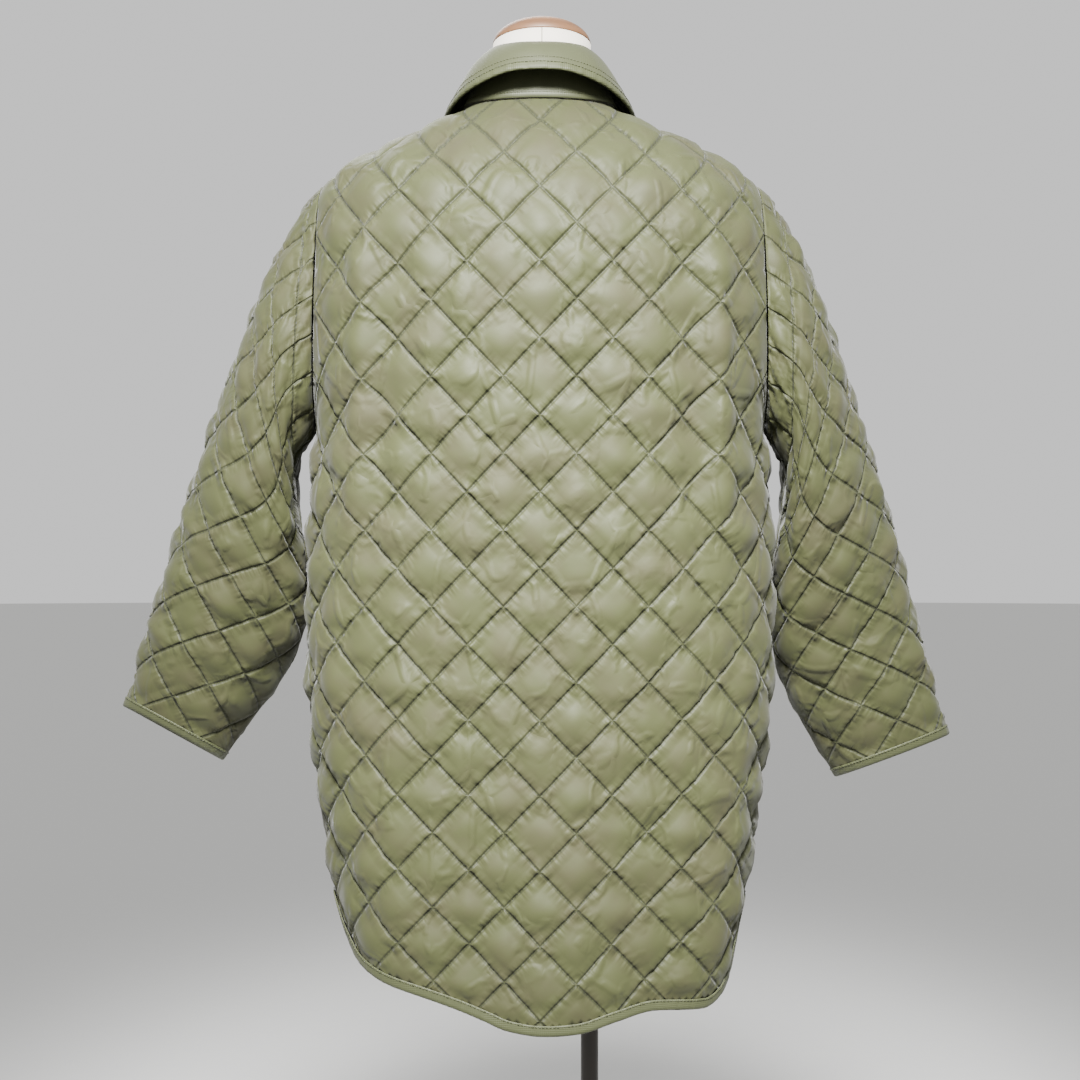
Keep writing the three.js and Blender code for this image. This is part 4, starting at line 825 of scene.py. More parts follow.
@dataclass(frozen=True)
class QuiltedTaffeta(Finish):
    """Woven polyester taffeta, quilted: satin gleam, sunk stitch lines with small puckers beside them."""

    # Painted shade: a darker colour along the sunk stitch lines
    groove: str = "25271A"
    # Painted sheen: the shot weave's warm cast, laid in random blotches
    warm: str = "3A3925"
    thread: str = "33361F"
    groove_width: float = 2.6
    thread_width: float = 0.55
    pucker_spacing: float = 8.5
    pucker_reach: float = 13.0
    # How fast a pucker changes away from its stitch line
    pucker_change: float = 1.7
    crumple_size: float = 38.0
    crease_size: float = 42.0
    sway: float = 0.004
    # Depth in metres and strength of each relief
    crease_relief: tuple[float, float] = (0.0013, 0.8)
    pucker_relief: tuple[float, float] = (0.0034, 1.0)
    groove_relief: tuple[float, float] = (0.0012, 0.9)
    weave_relief: tuple[float, float] = (0.0001, 0.25)
    # Share of a stitch where the thread dives
    stitch_gap: float = 0.14
    # Fineness of the warm blotches of painted sheen, and the noise levels between which they fade in
    patch_scale: float = 19.0
    patch_levels: tuple[float, float] = (0.42, 0.72)
    # Noise levels between which the small creases fade in, and the width of one as a share of their spacing
    crease_levels: tuple[float, float] = (0.42, 0.56)
    crease_width: float = 0.13
    crease_stretch: float = 0.62
    gloss_range: tuple[float, float] = (-0.05, 0.08)
    # Real threads are near 0.1 mm, too fine to show, so the weave is drawn coarser
    weave_size: float = 1.1

    def paint(self, net: Net) -> None:
        """Adds stitch lines with painted shade, blotches of painted sheen, puckers, creases and weave.

        Args:
            net: The nodes that take them.
        """
        side = math.hypot(DIAMOND_WIDTH / 2, BODY_DIAMOND_HEIGHT / 2)
        quilt = net.add("UVMap", {}, uv_map=QUILT_MAP).outputs["UV"]
        ways = net.add("SeparateXYZ", {0: quilt}).outputs
        grooves, puckers, threads = [], [], []
        for across, along in ((ways[0], ways[1]), (ways[1], ways[0])):
            away = net.add("Math", {0: across, 1: 0.5}, operation="PINGPONG").outputs[0]
            fall = {"Value": away, "To Min": 1.0, "To Max": 0.0}
            sunk = fall | {"From Max": self.groove_width / side}
            grooves.append(net.add("MapRange", sunk, interpolation_type="SMOOTHSTEP").outputs[0])
            # One dash a stitch, with a short gap where the thread dives
            dash = net.add("Math", {0: along, 1: side / STITCH_PITCH}, operation="MULTIPLY").outputs[0]
            dash = net.add("Math", {0: dash, 1: 0.5}, operation="PINGPONG").outputs[0]
            dash = net.add("Math", {0: dash, 1: self.stitch_gap}, operation="GREATER_THAN").outputs[0]
            near = net.add("Math", {0: away, 1: self.thread_width / side}, operation="LESS_THAN").outputs[0]
            threads.append(net.add("Math", {0: dash, 1: near}, operation="MULTIPLY").outputs[0])
            slow = net.add("Math", {0: across, 1: self.pucker_change}, operation="MULTIPLY").outputs[0]
            pitch = {0: along, 1: side / self.pucker_spacing}
            quick = net.add("Math", pitch, operation="MULTIPLY").outputs[0]
            place = net.add("CombineXYZ", {0: slow, 1: quick}).outputs[0]
            ripple = net.add("TexNoise", {"Vector": place, "Scale": 1.0, "Detail": 1.5}).outputs["Fac"]
            fade = fall | {"From Max": self.pucker_reach / side}
            fade = net.add("MapRange", fade, interpolation_type="SMOOTHSTEP").outputs[0]
            puckers.append(net.add("Math", {0: ripple, 1: fade}, operation="MULTIPLY").outputs[0])
        groove = net.add("Math", dict(enumerate(grooves)), operation="MAXIMUM").outputs[0]
        pucker = net.add("Math", dict(enumerate(puckers)), operation="ADD").outputs[0]
        thread = net.add("Math", dict(enumerate(threads)), operation="MAXIMUM").outputs[0]
        self.colour_nodes(net, groove, thread)
        self.bump_nodes(net, groove, pucker)

    def colour_nodes(self, net: Net, groove: Socket, thread: Socket) -> None:
        """Adds the colour: blotches of painted sheen in the shot weave's brownish cast, painted shade along
        the stitch lines, and darker thread.

        Args:
            net: The nodes that take it.
            groove: How far a spot is sunk by the stitching.
            thread: Where the thread shows.
        """
        inputs = {"Vector": net.place, "Scale": self.patch_scale, "Detail": 4.0, "Roughness": 0.6}
        noise = net.add("TexNoise", inputs).outputs["Fac"]
        low, high = self.patch_levels
        sheen_blotches = net.add("MapRange", {"Value": noise, "From Min": low, "From Max": high}).outputs[0]
        cloth = linear(self.colour)
        # Painted sheen in blotches, painted shade along the stitch lines, then the thread's own colour
        for share, colour in ((sheen_blotches, self.warm), (groove, self.groove), (thread, self.thread)):
            inputs = {"Factor": share, "A": cloth, "B": linear(colour)}
            cloth = net.add("Mix", inputs, data_type="RGBA").outputs["Result"]
        net.set("Base Color", cloth)
        low, high = self.gloss_range
        inputs = {"Value": sheen_blotches, "To Min": self.roughness + low, "To Max": self.roughness + high}
        net.set("Roughness", net.add("MapRange", inputs).outputs[0])

    def bump_nodes(self, net: Net, groove: Socket, pucker: Socket) -> None:
        """Adds the relief that is finer than the mesh: sharp small creases, puckers, stitch lines, weave.

        Args:
            net: The nodes that take it.
            groove: How far a spot is sunk by the stitching.
            pucker: Height of the puckers.
        """
        inputs = {"Vector": net.place, "Scale": per_metre(self.crumple_size), "Detail": 2.0}
        sway = net.add("TexNoise", inputs).outputs
        inputs = {"Factor": self.sway, "A": net.place, "B": sway["Color"]}
        swayed = net.add("Mix", inputs, data_type="VECTOR").outputs["Result"]
        # Creases run longer up the cloth than across it, and only in some patches
        stretch = (1.0, 1.0, self.crease_stretch)
        stretched = net.add("Mapping", {"Vector": swayed, "Scale": stretch}).outputs[0]
        low, high = self.crease_levels
        inputs = {"Value": sway["Fac"], "From Min": low, "From Max": high}
        mask = net.add("MapRange", inputs, interpolation_type="SMOOTHSTEP").outputs[0]
        inputs = {"Vector": stretched, "Scale": per_metre(self.crease_size)}
        cells = net.add("TexVoronoi", inputs, feature="DISTANCE_TO_EDGE").outputs["Distance"]
        inputs = {"Value": cells, "From Max": self.crease_width, "To Min": 1.0, "To Max": 0.0}
        creases = net.add("MapRange", inputs, interpolation_type="SMOOTHERSTEP").outputs[0]
        creases = net.add("Math", {0: creases, 1: mask}, operation="MULTIPLY").outputs[0]
        inputs = {"Vector": net.place, "Scale": per_metre(self.weave_size), "Detail": 1.0}
        weave = net.add("TexNoise", inputs).outputs["Fac"]
        under = {}
        for height, (depth, strength), sunk in (
            (creases, self.crease_relief, False),
            (pucker, self.pucker_relief, False),
            (groove, self.groove_relief, True),
            (weave, self.weave_relief, False),
        ):
            inputs = {"Height": height, "Distance": depth, "Strength": strength}
            under = {"Normal": net.add("Bump", inputs | under, invert=sunk).outputs[0]}
        net.set("Normal", under["Normal"])


@dataclass(frozen=True)
class WovenCloth(Finish):
    """Plain woven cloth: crossed threads in relief, with faint uneven dye."""

    second: str = "383B23"
    # Drawn coarser than the real threads, so that it shows
    thread_size: float = 1.0
    relief: float = 0.00012
    slack_size: float = 26.0
    slack: float = 0.0009
    dye_scale: float = 24.0
    distortion: float = 0.6
    strength: float = 0.5

    def paint(self, net: Net) -> None:
        """Adds dye, slack and weave.

        Args:
            net: The nodes that take them.
        """
        inputs = {"Vector": net.place, "Scale": self.dye_scale, "Detail": 5.0, "Roughness": 0.6}
        dye = net.add("TexNoise", inputs).outputs["Fac"]
        inputs = {"Factor": dye, "A": linear(self.colour), "B": linear(self.second)}
        net.set("Base Color", net.add("Mix", inputs, data_type="RGBA").outputs["Result"])
        inputs = {"Vector": net.place, "Scale": per_metre(self.slack_size), "Detail": 2.0}
        slack = net.add("TexNoise", inputs, noise_type="RIDGED_MULTIFRACTAL").outputs["Fac"]
        relief = net.add("Bump", {"Height": slack, "Distance": self.slack}).outputs[0]
        net.set("Normal", net.weave(self.thread_size, self.relief, self.strength, self.distortion, relief))


@dataclass(frozen=True)
class FormCover(Finish):
    """Cream cotton cover of the form, pulled smooth: matt weave with a sewn seam down its middles."""

    second: str = "CFC8BA"
    seam: str = "8F8776"
    seam_width: float = 0.9
    thread_size: float = 0.9
    dye_scale: float = 40.0
    seam_relief: tuple[float, float] = (0.0008, 0.8)
    thread_relief: tuple[float, float] = (0.00012, 0.4)
    distortion: float = 0.8

    def paint(self, net: Net) -> None:
        """Adds dye, weave and the seam line.

        Args:
            net: The nodes that take them.
        """
        across = net.add("SeparateXYZ", {0: net.place}).outputs[0]
        away = net.add("Math", {0: across, 1: -NECK_RIM.x * MM}, operation="ADD").outputs[0]
        away = net.add("Math", {0: away}, operation="ABSOLUTE").outputs[0]
        inputs = {"Value": away, "From Max": self.seam_width * MM, "To Min": 1.0, "To Max": 0.0}
        line = net.add("MapRange", inputs, interpolation_type="SMOOTHSTEP").outputs[0]
        inputs = {"Vector": net.place, "Scale": self.dye_scale, "Detail": 5.0}
        dye = net.add("TexNoise", inputs).outputs["Fac"]
        cloth = linear(self.colour)
        for share, colour in ((dye, self.second), (line, self.seam)):
            inputs = {"Factor": share, "A": cloth, "B": linear(colour)}
            cloth = net.add("Mix", inputs, data_type="RGBA").outputs["Result"]
        net.set("Base Color", cloth)
        depth, strength = self.seam_relief
        inputs = {"Height": line, "Distance": depth, "Strength": strength}
        relief = net.add("Bump", inputs, invert=True).outputs[0]
        net.set("Normal", net.weave(self.thread_size, *self.thread_relief, self.distortion, relief))


@dataclass(frozen=True)
class TurnedBeech(Finish):
    """Beech, turned and oiled: fine brown flecks along the grain under a low satin gloss."""

    dark: str = "4C3320"
    ring_width: float = 7.0
    fleck_scale: float = 900.0
    # Squeeze across the cap that draws the grain out along it
    stretch: float = 0.16
    relief: tuple[float, float] = (0.0001, 0.3)

    def paint(self, net: Net) -> None:
        """Adds the grain.

        Args:
            net: The nodes that take it.
        """
        long = net.add("Mapping", {"Vector": net.place, "Scale": (self.stretch, 1.0, 1.0)}).outputs[0]
        inputs = {"Vector": long, "Scale": per_metre(self.ring_width) / WAVE_TURN, "Distortion": 7.0}
        inputs |= {"Detail": 3.0, "Detail Scale": 1.4}
        rings = net.add("TexWave", inputs, bands_direction="Z").outputs["Fac"]
        inputs = {"Vector": long, "Scale": self.fleck_scale, "Detail": 3.0}
        flecks = net.add("TexNoise", inputs).outputs["Fac"]
        grain = net.add("Math", {0: rings, 1: flecks}, operation="MULTIPLY").outputs[0]
        inputs = {"Factor": grain, "A": linear(self.colour), "B": linear(self.dark)}
        net.set("Base Color", net.add("Mix", inputs, data_type="RGBA").outputs["Result"])
        depth, strength = self.relief
        inputs = {"Height": flecks, "Distance": depth, "Strength": strength}
        net.set("Normal", net.add("Bump", inputs).outputs[0])


@dataclass(frozen=True)
class BakedPaint(Finish):
    """Smooth coat of paint or enamel: even colour with a fine orange peel and slightly uneven gloss."""

    worn: str = "2E2821"
    peel_size: float = 2.2
    wear_scale: float = 30.0
    relief: tuple[float, float] = (0.00008, 0.4)
    gloss_range: tuple[float, float] = (-0.08, 0.12)

    def paint(self, net: Net) -> None:
        """Adds wear and orange peel.

        Args:
            net: The nodes that take them.
        """
        inputs = {"Vector": net.place, "Scale": self.wear_scale, "Detail": 6.0, "Roughness": 0.65}
        wear = net.add("TexNoise", inputs).outputs["Fac"]
        inputs = {"Factor": wear, "A": linear(self.colour), "B": linear(self.worn)}
        net.set("Base Color", net.add("Mix", inputs, data_type="RGBA").outputs["Result"])
        low, high = self.gloss_range
        inputs = {"Value": wear, "To Min": self.roughness + low, "To Max": self.roughness + high}
        net.set("Roughness", net.add("MapRange", inputs).outputs[0])
        inputs = {"Vector": net.place, "Scale": per_metre(self.peel_size), "Detail": 2.0}
        peel = net.add("TexNoise", inputs).outputs["Fac"]
        depth, strength = self.relief
        inputs = {"Height": peel, "Distance": depth, "Strength": strength}
        net.set("Normal", net.add("Bump", inputs).outputs[0])


# Close filament weave with a soft gleam that breaks along the crests of the padding and its creases
TAFFETA = QuiltedTaffeta("woven taffeta, quilted", "3A3D24", 0.62, sheen=0.07, specular=0.22)
# The same weave without padding: an even, slightly brighter gleam
PLAIN_TAFFETA = WovenCloth("woven taffeta, plain", "3E4228", 0.58, sheen=0.07, second="383B23")
# Folded twice and pressed: flatter, a little darker, its threads easier to see
TAPE = WovenCloth(
    "woven tape, folded", "3E4227", 0.6, sheen=0.04, second="383C22", relief=0.0002, slack=0.0005
)
# Twisted from dull fibres: darker than the cloth, without its gleam
THREAD = WovenCloth("twisted polyester thread", "3A3D24", 0.55, second="34371F", thread_size=0.6)
# Unbleached cotton: warm white and quite matt
COVER = FormCover("cotton cover, pulled smooth", "D9D3C7", 0.9, sheen=0.1)
# Oil darkens the flecks and leaves a low gloss
BEECH = TurnedBeech("beech, turned and oiled", "6B4B31", 0.46)
# Near black, with a blurred reflection that the orange peel breaks up
STAND_PAINT = BakedPaint("steel, baked satin paint", "231E19", 0.4, worn="2E2821")
# Enamel in the cloth's tone, glossier than the cloth
SNAP_PAINT = BakedPaint("brass snap, baked enamel", "6F6C50", 0.34, worn="7C795B")
# Pale and without gloss, so that the jacket stands out from it
PAPER = BakedPaint("studio paper, matt", "CBCBC9", 0.9, worn="C8C8C6")


# Body of the jacket


class BodyDrape:
    """Surface of the jacket's body, read at flat cloth places."""

    SHARES = 241
    ANGLES = 145
    LEVEL_STEP = 2.0
    # Distance either way that a normal is taken over, and where it turns level at the side seam
    REACH = 3.0
    SIDE_TURN = (7, 1)
    # Fold beside the armhole: place at its top, lean, width, height and the hollow outside it
    FOLD_PLACE = 178
    FOLD_TOP = 1290
    FOLD_LEAN = 0.06
    FOLD_WIDTH = 17
    FOLD_HEIGHT = 7
    HOLLOW_DEPTH = 3.85
    HOLLOW_PLACE = 2.1
    # Strips at the side seam and armhole where the folds fade in, and the levels between which they run
    FOLD_SEAM = (0, 50)
    FOLD_ARMHOLE = (4, 45)
    FOLD_FOOT = (900, 1030)
    FOLD_HEAD = 1200
    # Level below which the armhole no longer counts, and the distance that is added there
    FREE_LEVEL = 1000
    FREE_DISTANCE = 60
    # Waves of the hem: height, length, place and the levels where they start and are whole
    WAVE_HEIGHT = 5
    WAVE_LENGTH = 168
    WAVE_PLACE = 20
    WAVE_LEVELS = (860, 480)

    def __init__(self) -> None:
        """Works out a table of level sections for each half."""
        self.half_width = Profile(BODY_SECTIONS, "z", "half_width")
        self.roundness = Profile(BODY_SECTIONS, "z", "roundness")
        self.depth = {
            Side.BACK: Profile(BODY_SECTIONS, "z", "back"),
            Side.FRONT: Profile(BODY_SECTIONS, "z", "front"),
        }
        self.levels = np.arange(BODY_SECTIONS[0].z - 4, BODY_SECTIONS[-1].z + 6, self.LEVEL_STEP)
        self.table = {side: self.sections(side) for side in Side}
        self.crumple = Crumple(seed=11)

    def sections(self, side: Side) -> tuple[Array, Array, Array]:
        """Sections of one half at every level.

        Args:
            side: Back or front.

        Returns:
            x and y by level and share of the way round, and the whole length at each level.
        """
        angle = np.linspace(0, math.pi / 2, self.ANGLES)
        power = (2 / self.roundness(self.levels))[:, None]
        x = self.half_width(self.levels)[:, None] * np.sin(angle) ** power
        away = self.depth[side](self.levels)[:, None] * np.maximum(np.cos(angle), 0) ** power
        y = SIDE_SEAM_Y + side.value * away
        y[:, -1] = SIDE_SEAM_Y
        run = np.hypot(np.diff(x, axis=1), np.diff(y, axis=1)).cumsum(axis=1)
        run = np.concatenate((np.zeros((len(self.levels), 1)), run), axis=1)
        total = run[:, -1]
        share = np.linspace(0, 1, self.SHARES)
        xs = np.array([np.interp(share, r / r[-1], row) for r, row in zip(run, x)])
        ys = np.array([np.interp(share, r / r[-1], row) for r, row in zip(run, y)])
        return xs, ys, total

    def length(self, side: Side, z: Array) -> Array:
        """Cloth length from the middle to the side seam.

        Args:
            side: Back or front.
            z: Heights.

        Returns:
            The lengths.
        """
        return np.interp(z, self.levels, self.table[side][2])

    def point(self, side: Side, s: Array, z: Array) -> Array:
        """Plain surface at flat places.

        Args:
            side: Back or front.
            s: Distances round.
            z: Heights.

        Returns:
            Rows of x, y and z.
        """
        xs, ys, _ = self.table[side]
        share = np.clip(np.abs(s) / self.length(side, z), 0, 1) * (self.SHARES - 1)
        level = np.clip((z - self.levels[0]) / self.LEVEL_STEP, 0, len(self.levels) - 1.001)
        x, y = between(xs, level, share), between(ys, level, share)
        return np.stack((np.where(s < 0, -1, 1) * x, y, z), axis=-1)

    def normal(self, side: Side, s: Array, z: Array) -> Array:
        """Way out of the surface at flat places.

        Args:
            side: Back or front.
            s: Distances round.
            z: Heights.

        Returns:
            Unit vectors.
        """
        limit = self.length(side, z)
        left = self.point(side, np.maximum(s - self.REACH, -limit), z)
        right = self.point(side, np.minimum(s + self.REACH, limit), z)
        rise = self.point(side, s, z + self.REACH) - self.point(side, s, z - self.REACH)
        normal = unit(np.cross(right - left, rise)) * -side.value
        lean = (self.half_width(z + 1) - self.half_width(z - 1)) / 2
        flat = unit(np.stack((np.sign(s), np.zeros_like(s), -lean), axis=-1))
        near = ease(limit - self.SIDE_TURN[0], limit - self.SIDE_TURN[1], np.abs(s))[..., None]
        return unit(normal * (1 - near) + flat * near)

    def armhole_x(self, z: Array) -> Array:
        """Leaning plane of the armhole.

        Args:
            z: Heights.

        Returns:
            Distances from the middle.
        """
        share = (SHOULDER_TIP - z) / (SHOULDER_TIP - UNDERARM)
        return ARMHOLE_TOP_X + (ARMHOLE_FOOT_X - ARMHOLE_TOP_X) * share

    def beside_armhole(self, side: Side, s: Array, z: Array) -> Array:
        """Distance inside the plane of the armhole.

        Args:
            side: Back or front.
            s: Distances round.
            z: Heights.

        Returns:
            Millimetres, negative past the plane.
        """
        return self.armhole_x(z) - np.abs(self.point(side, s, z)[..., 0])

    def armhole_normal(self, side: Side, s: Array, z: Array) -> Array:
        """Direction of the wall at the armhole, shared by body and sleeve.

        Args:
            side: Back or front.
            s: Distances round.
            z: Heights.

        Returns:
            Unit vectors.
        """
        half = (SHOULDER_TIP - UNDERARM) / 2
        middle = (SHOULDER_TIP + UNDERARM) / 2
        point = self.point(side, s, z)
        outward = np.stack(
            (np.zeros_like(s), (point[..., 1] - SIDE_SEAM_Y) / ARMHOLE_DEPTH**2, (z - middle) / half**2),
            axis=-1,
        )
        return unit(self.normal(side, s, z) + unit(outward))

    def fold(self, side: Side, s: Array, z: Array) -> Array:
        """Largest folds: one beside each armhole and the waves of the hem.

        Args:
            side: Back or front.
            s: Distances round.
            z: Heights.

        Returns:
            Millimetres out of the surface.
        """
        seam = self.length(side, z) - np.abs(s)
        beside = self.beside_armhole(side, s, z) + np.where(z < self.FREE_LEVEL, self.FREE_DISTANCE, 0)
        fade = ease(*self.FOLD_SEAM, seam) * ease(*self.FOLD_ARMHOLE, beside)
        span = ease(*self.FOLD_FOOT, z) * ease(self.FOLD_TOP, self.FOLD_HEAD, z)
        offset = (np.abs(s) - self.FOLD_PLACE - (self.FOLD_TOP - z) * self.FOLD_LEAN) / self.FOLD_WIDTH
        crest = self.FOLD_HEIGHT * np.exp(-offset * offset)
        crest -= self.HOLLOW_DEPTH * np.exp(-((offset + self.HOLLOW_PLACE) ** 2))
        wave = self.WAVE_HEIGHT * np.cos(TURN * (s + self.WAVE_PLACE) / self.WAVE_LENGTH)
        wave *= ease(*self.WAVE_LEVELS, z)
        return fade * (span * crest + wave)

    def seam_fade(self, side: Side, s: Array, z: Array) -> Array:
        """How much of the quilting's height is left near the seams.

        Args:
            side: Back or front.
            s: Distances round.
            z: Heights.

        Returns:
            Shares from 0 to 1.
        """
        seam = self.length(side, z) - np.abs(s)
        beside = self.beside_armhole(side, s, z)
        armhole = np.where(z > UNDERARM, beside, np.hypot(np.maximum(0, beside), UNDERARM - z))
        return np.clip(seam / SEAM_FADE, 0, 1) * ease(FADE_START, ARMHOLE_FADE, armhole)


@dataclass
class Quilting:
    """Diamond quilting of one panel."""

    height: float
    origin: float
    width: float = DIAMOND_WIDTH
    divisions: int = 12
    crowding: float = 0.5
    fullness: float = 0.74
    sag: float = 0.38
    pucker_height: float = 1.25
    margin: float = 14.0

    # Factors that give every diamond its own even share between LEAST and LEAST + SPREAD
    SCATTER = (12.9898, 78.233, 43758.5453)
    LEAST = 0.86
    SPREAD = 0.22
    # Puckers: side of a diamond, ripples to a side for both waves, reach, and the bare strip at the stitches
    SIDE = 53
    RIPPLES = (3.6, 5.3)
    SECOND_SHARE = 0.7
    REACH = 8
    BARE = 2.5

    def ways(self, s: Array, z: Array) -> tuple[Array, Array]:
        """Places counted in stitch lines, both ways.

        Args:
            s: Distances round.
            z: Heights.

        Returns:
            Two counts, whole numbers on a stitch line.
        """
        up = (z - self.origin) / self.height
        return s / self.width + up, s / self.width - up

    def pillow(self, s: Array, z: Array) -> Array:
        """Height of the padding between the stitch lines.

        Args:
            s: Distances round.
            z: Heights.

        Returns:
            Shares from 0 on a stitch line to 1.
        """
        a, b = self.ways(s, z)
        rise = np.abs(np.sin(math.pi * a)) ** self.fullness * np.abs(np.sin(math.pi * b)) ** self.fullness
        rise *= 1 - self.sag * ((a - np.floor(a)) - (b - np.floor(b)))
        by_a, by_b, by_all = self.SCATTER
        number = np.sin(np.floor(a) * by_a + np.floor(b) * by_b) * by_all
        return rise * (self.LEAST + self.SPREAD * (number - np.floor(number)))

    def puckers(self, s: Array, z: Array) -> Array:
        """Small ripples that run into the diamonds from the stitching.

        Args:
            s: Distances round.
            z: Heights.

        Returns:
            Millimetres out of the surface.
        """
        total = np.zeros_like(s)
        for across, along in (self.ways(s, z), self.ways(s, z)[::-1]):
            line = np.rint(across)
            away = np.abs(across - line) * self.SIDE
            phase = line * 2.4 + np.sin(line * 5.1) * 3
            first, second = (along * TURN * ripples for ripples in self.RIPPLES)
            wave = np.sin(first + phase) + self.SECOND_SHARE * np.sin(second + 2 * phase)
            total += wave * np.exp(-away / self.REACH) * (1 - np.exp(-away / self.BARE))
        return self.pucker_height * total

    def flat(self, low_s: float, high_s: float, low_z: float, high_z: float) -> Mesh:
        """Flat cloth over a rectangle, divided along its stitch lines and closer beside them.

        Args:
            low_s: Its left edge.
            high_s: Its right edge.
            low_z: Its foot.
            high_z: Its top.

        Returns:
            The mesh, with s and z as x and y in millimetres.
        """
        corners_s = np.array([low_s, high_s, low_s, high_s])
        corners_z = np.array([low_z, low_z, high_z, high_z])
        a, b = self.ways(corners_s, corners_z)
        first = (math.floor(a.min()) - 1, math.floor(b.min()) - 1)
        count = (math.ceil(a.max()) + 1 - first[0], math.ceil(b.max()) + 1 - first[1])
        divisions = self.divisions
        bm = bmesh.new()
        bmesh.ops.create_grid(bm, x_segments=count[0] * divisions, y_segments=count[1] * divisions, size=1)
        place = flat_places(bm)
        crowded = []
        for way in (0, 1):
            at = first[way] + (place[:, way] + 1) / 2 * count[way]
            crowded.append(at - self.crowding * np.sin(TURN * at) / (TURN))
        s = (crowded[0] + crowded[1]) / 2 * self.width
        z = (crowded[0] - crowded[1]) / 2 * self.height + self.origin
        set_points(bm, np.stack((s, z, np.zeros_like(s)), axis=-1))
        middle_s, middle_z = (low_s + high_s) / 2, (low_z + high_z) / 2
        reach_s, reach_z = middle_s - low_s + self.margin, middle_z - low_z + self.margin
        keep_faces(bm, lambda s, z: (np.abs(s - middle_s) < reach_s) & (np.abs(z - middle_z) < reach_z))
        return bm


def keep_faces(bm: Mesh, test: Level) -> None:
    """Deletes the faces whose middles fail a test.

    Args:
        bm: The flat mesh.
        test: The test of s and z.
    """
    middles = np.array([face.calc_center_median() for face in bm.faces], float)
    kept = test(middles[:, 0], middles[:, 1])
    lost = [face for face, keep in zip(bm.faces, kept) if not keep]
    bmesh.ops.delete(bm, geom=lost, context="FACES")


def score(bm: Mesh, level: Level) -> None:
    """Cuts the flat cloth's edges along the line where a level is nought.

    Args:
        bm: The flat mesh.
        level: The level at s and z.
    """
    places = flat_places(bm)
    places[:, 2] = level(places[:, 0], places[:, 1])
    set_points(bm, places)
    bmesh.ops.bisect_plane(
        bm,
        geom=bm.verts[:] + bm.edges[:] + bm.faces[:],
        dist=0.04,
        plane_co=(0, 0, 0),
        plane_no=(0, 0, 1),
    )
    for vert in bm.verts:
        vert.co.z = 0


@dataclass
class Cut:
    """Flat size of a piece."""

    width: float
    length: float
    area: float


def lay_panel(
    bm: Mesh,
    quilting: Quilting,
    place: Callable[[Array, Array], tuple[Array, Array]],
) -> Cut:
    """Moves a flat panel on to the body and gives it its quilting map.

    Args:
        bm: The flat panel.
        quilting: Its quilting.
        place: Points and outward directions at s and z.

    Returns:
        The flat cut in metres.
    """
    flat = flat_places(bm)
    area = sum(face.calc_area() for face in bm.faces) * MM * MM
    size = (flat.max(axis=0) - flat.min(axis=0)) * MM
    a, b = quilting.ways(flat[:, 0], flat[:, 1])
    bm.verts.index_update()
    layer = bm.loops.layers.uv.new(QUILT_MAP)
    for face in bm.faces:
        for loop in face.loops:
            at = loop.vert.index
            loop[layer].uv = (a[at], b[at])
    points, outward = place(flat[:, 0], flat[:, 1])
    set_points(bm, points * MM)
    face_outwards(bm, outward)
    return Cut(float(size[0]), float(size[1]), float(area))


def hang(name: str, bm: Mesh, node: str) -> Piece:
    """Makes a panel a thickened sheet on the frame.

    Args:
        name: Its name.
        bm: Its mesh.
        node: The solid that it stands for.

    Returns:
        The panel.
    """
    piece = make_piece(name, bm, TAFFETA)
    thicken(piece, CLOTH_WALL, -1)
    seat(piece, "quilted_cloth", node)
    return piece


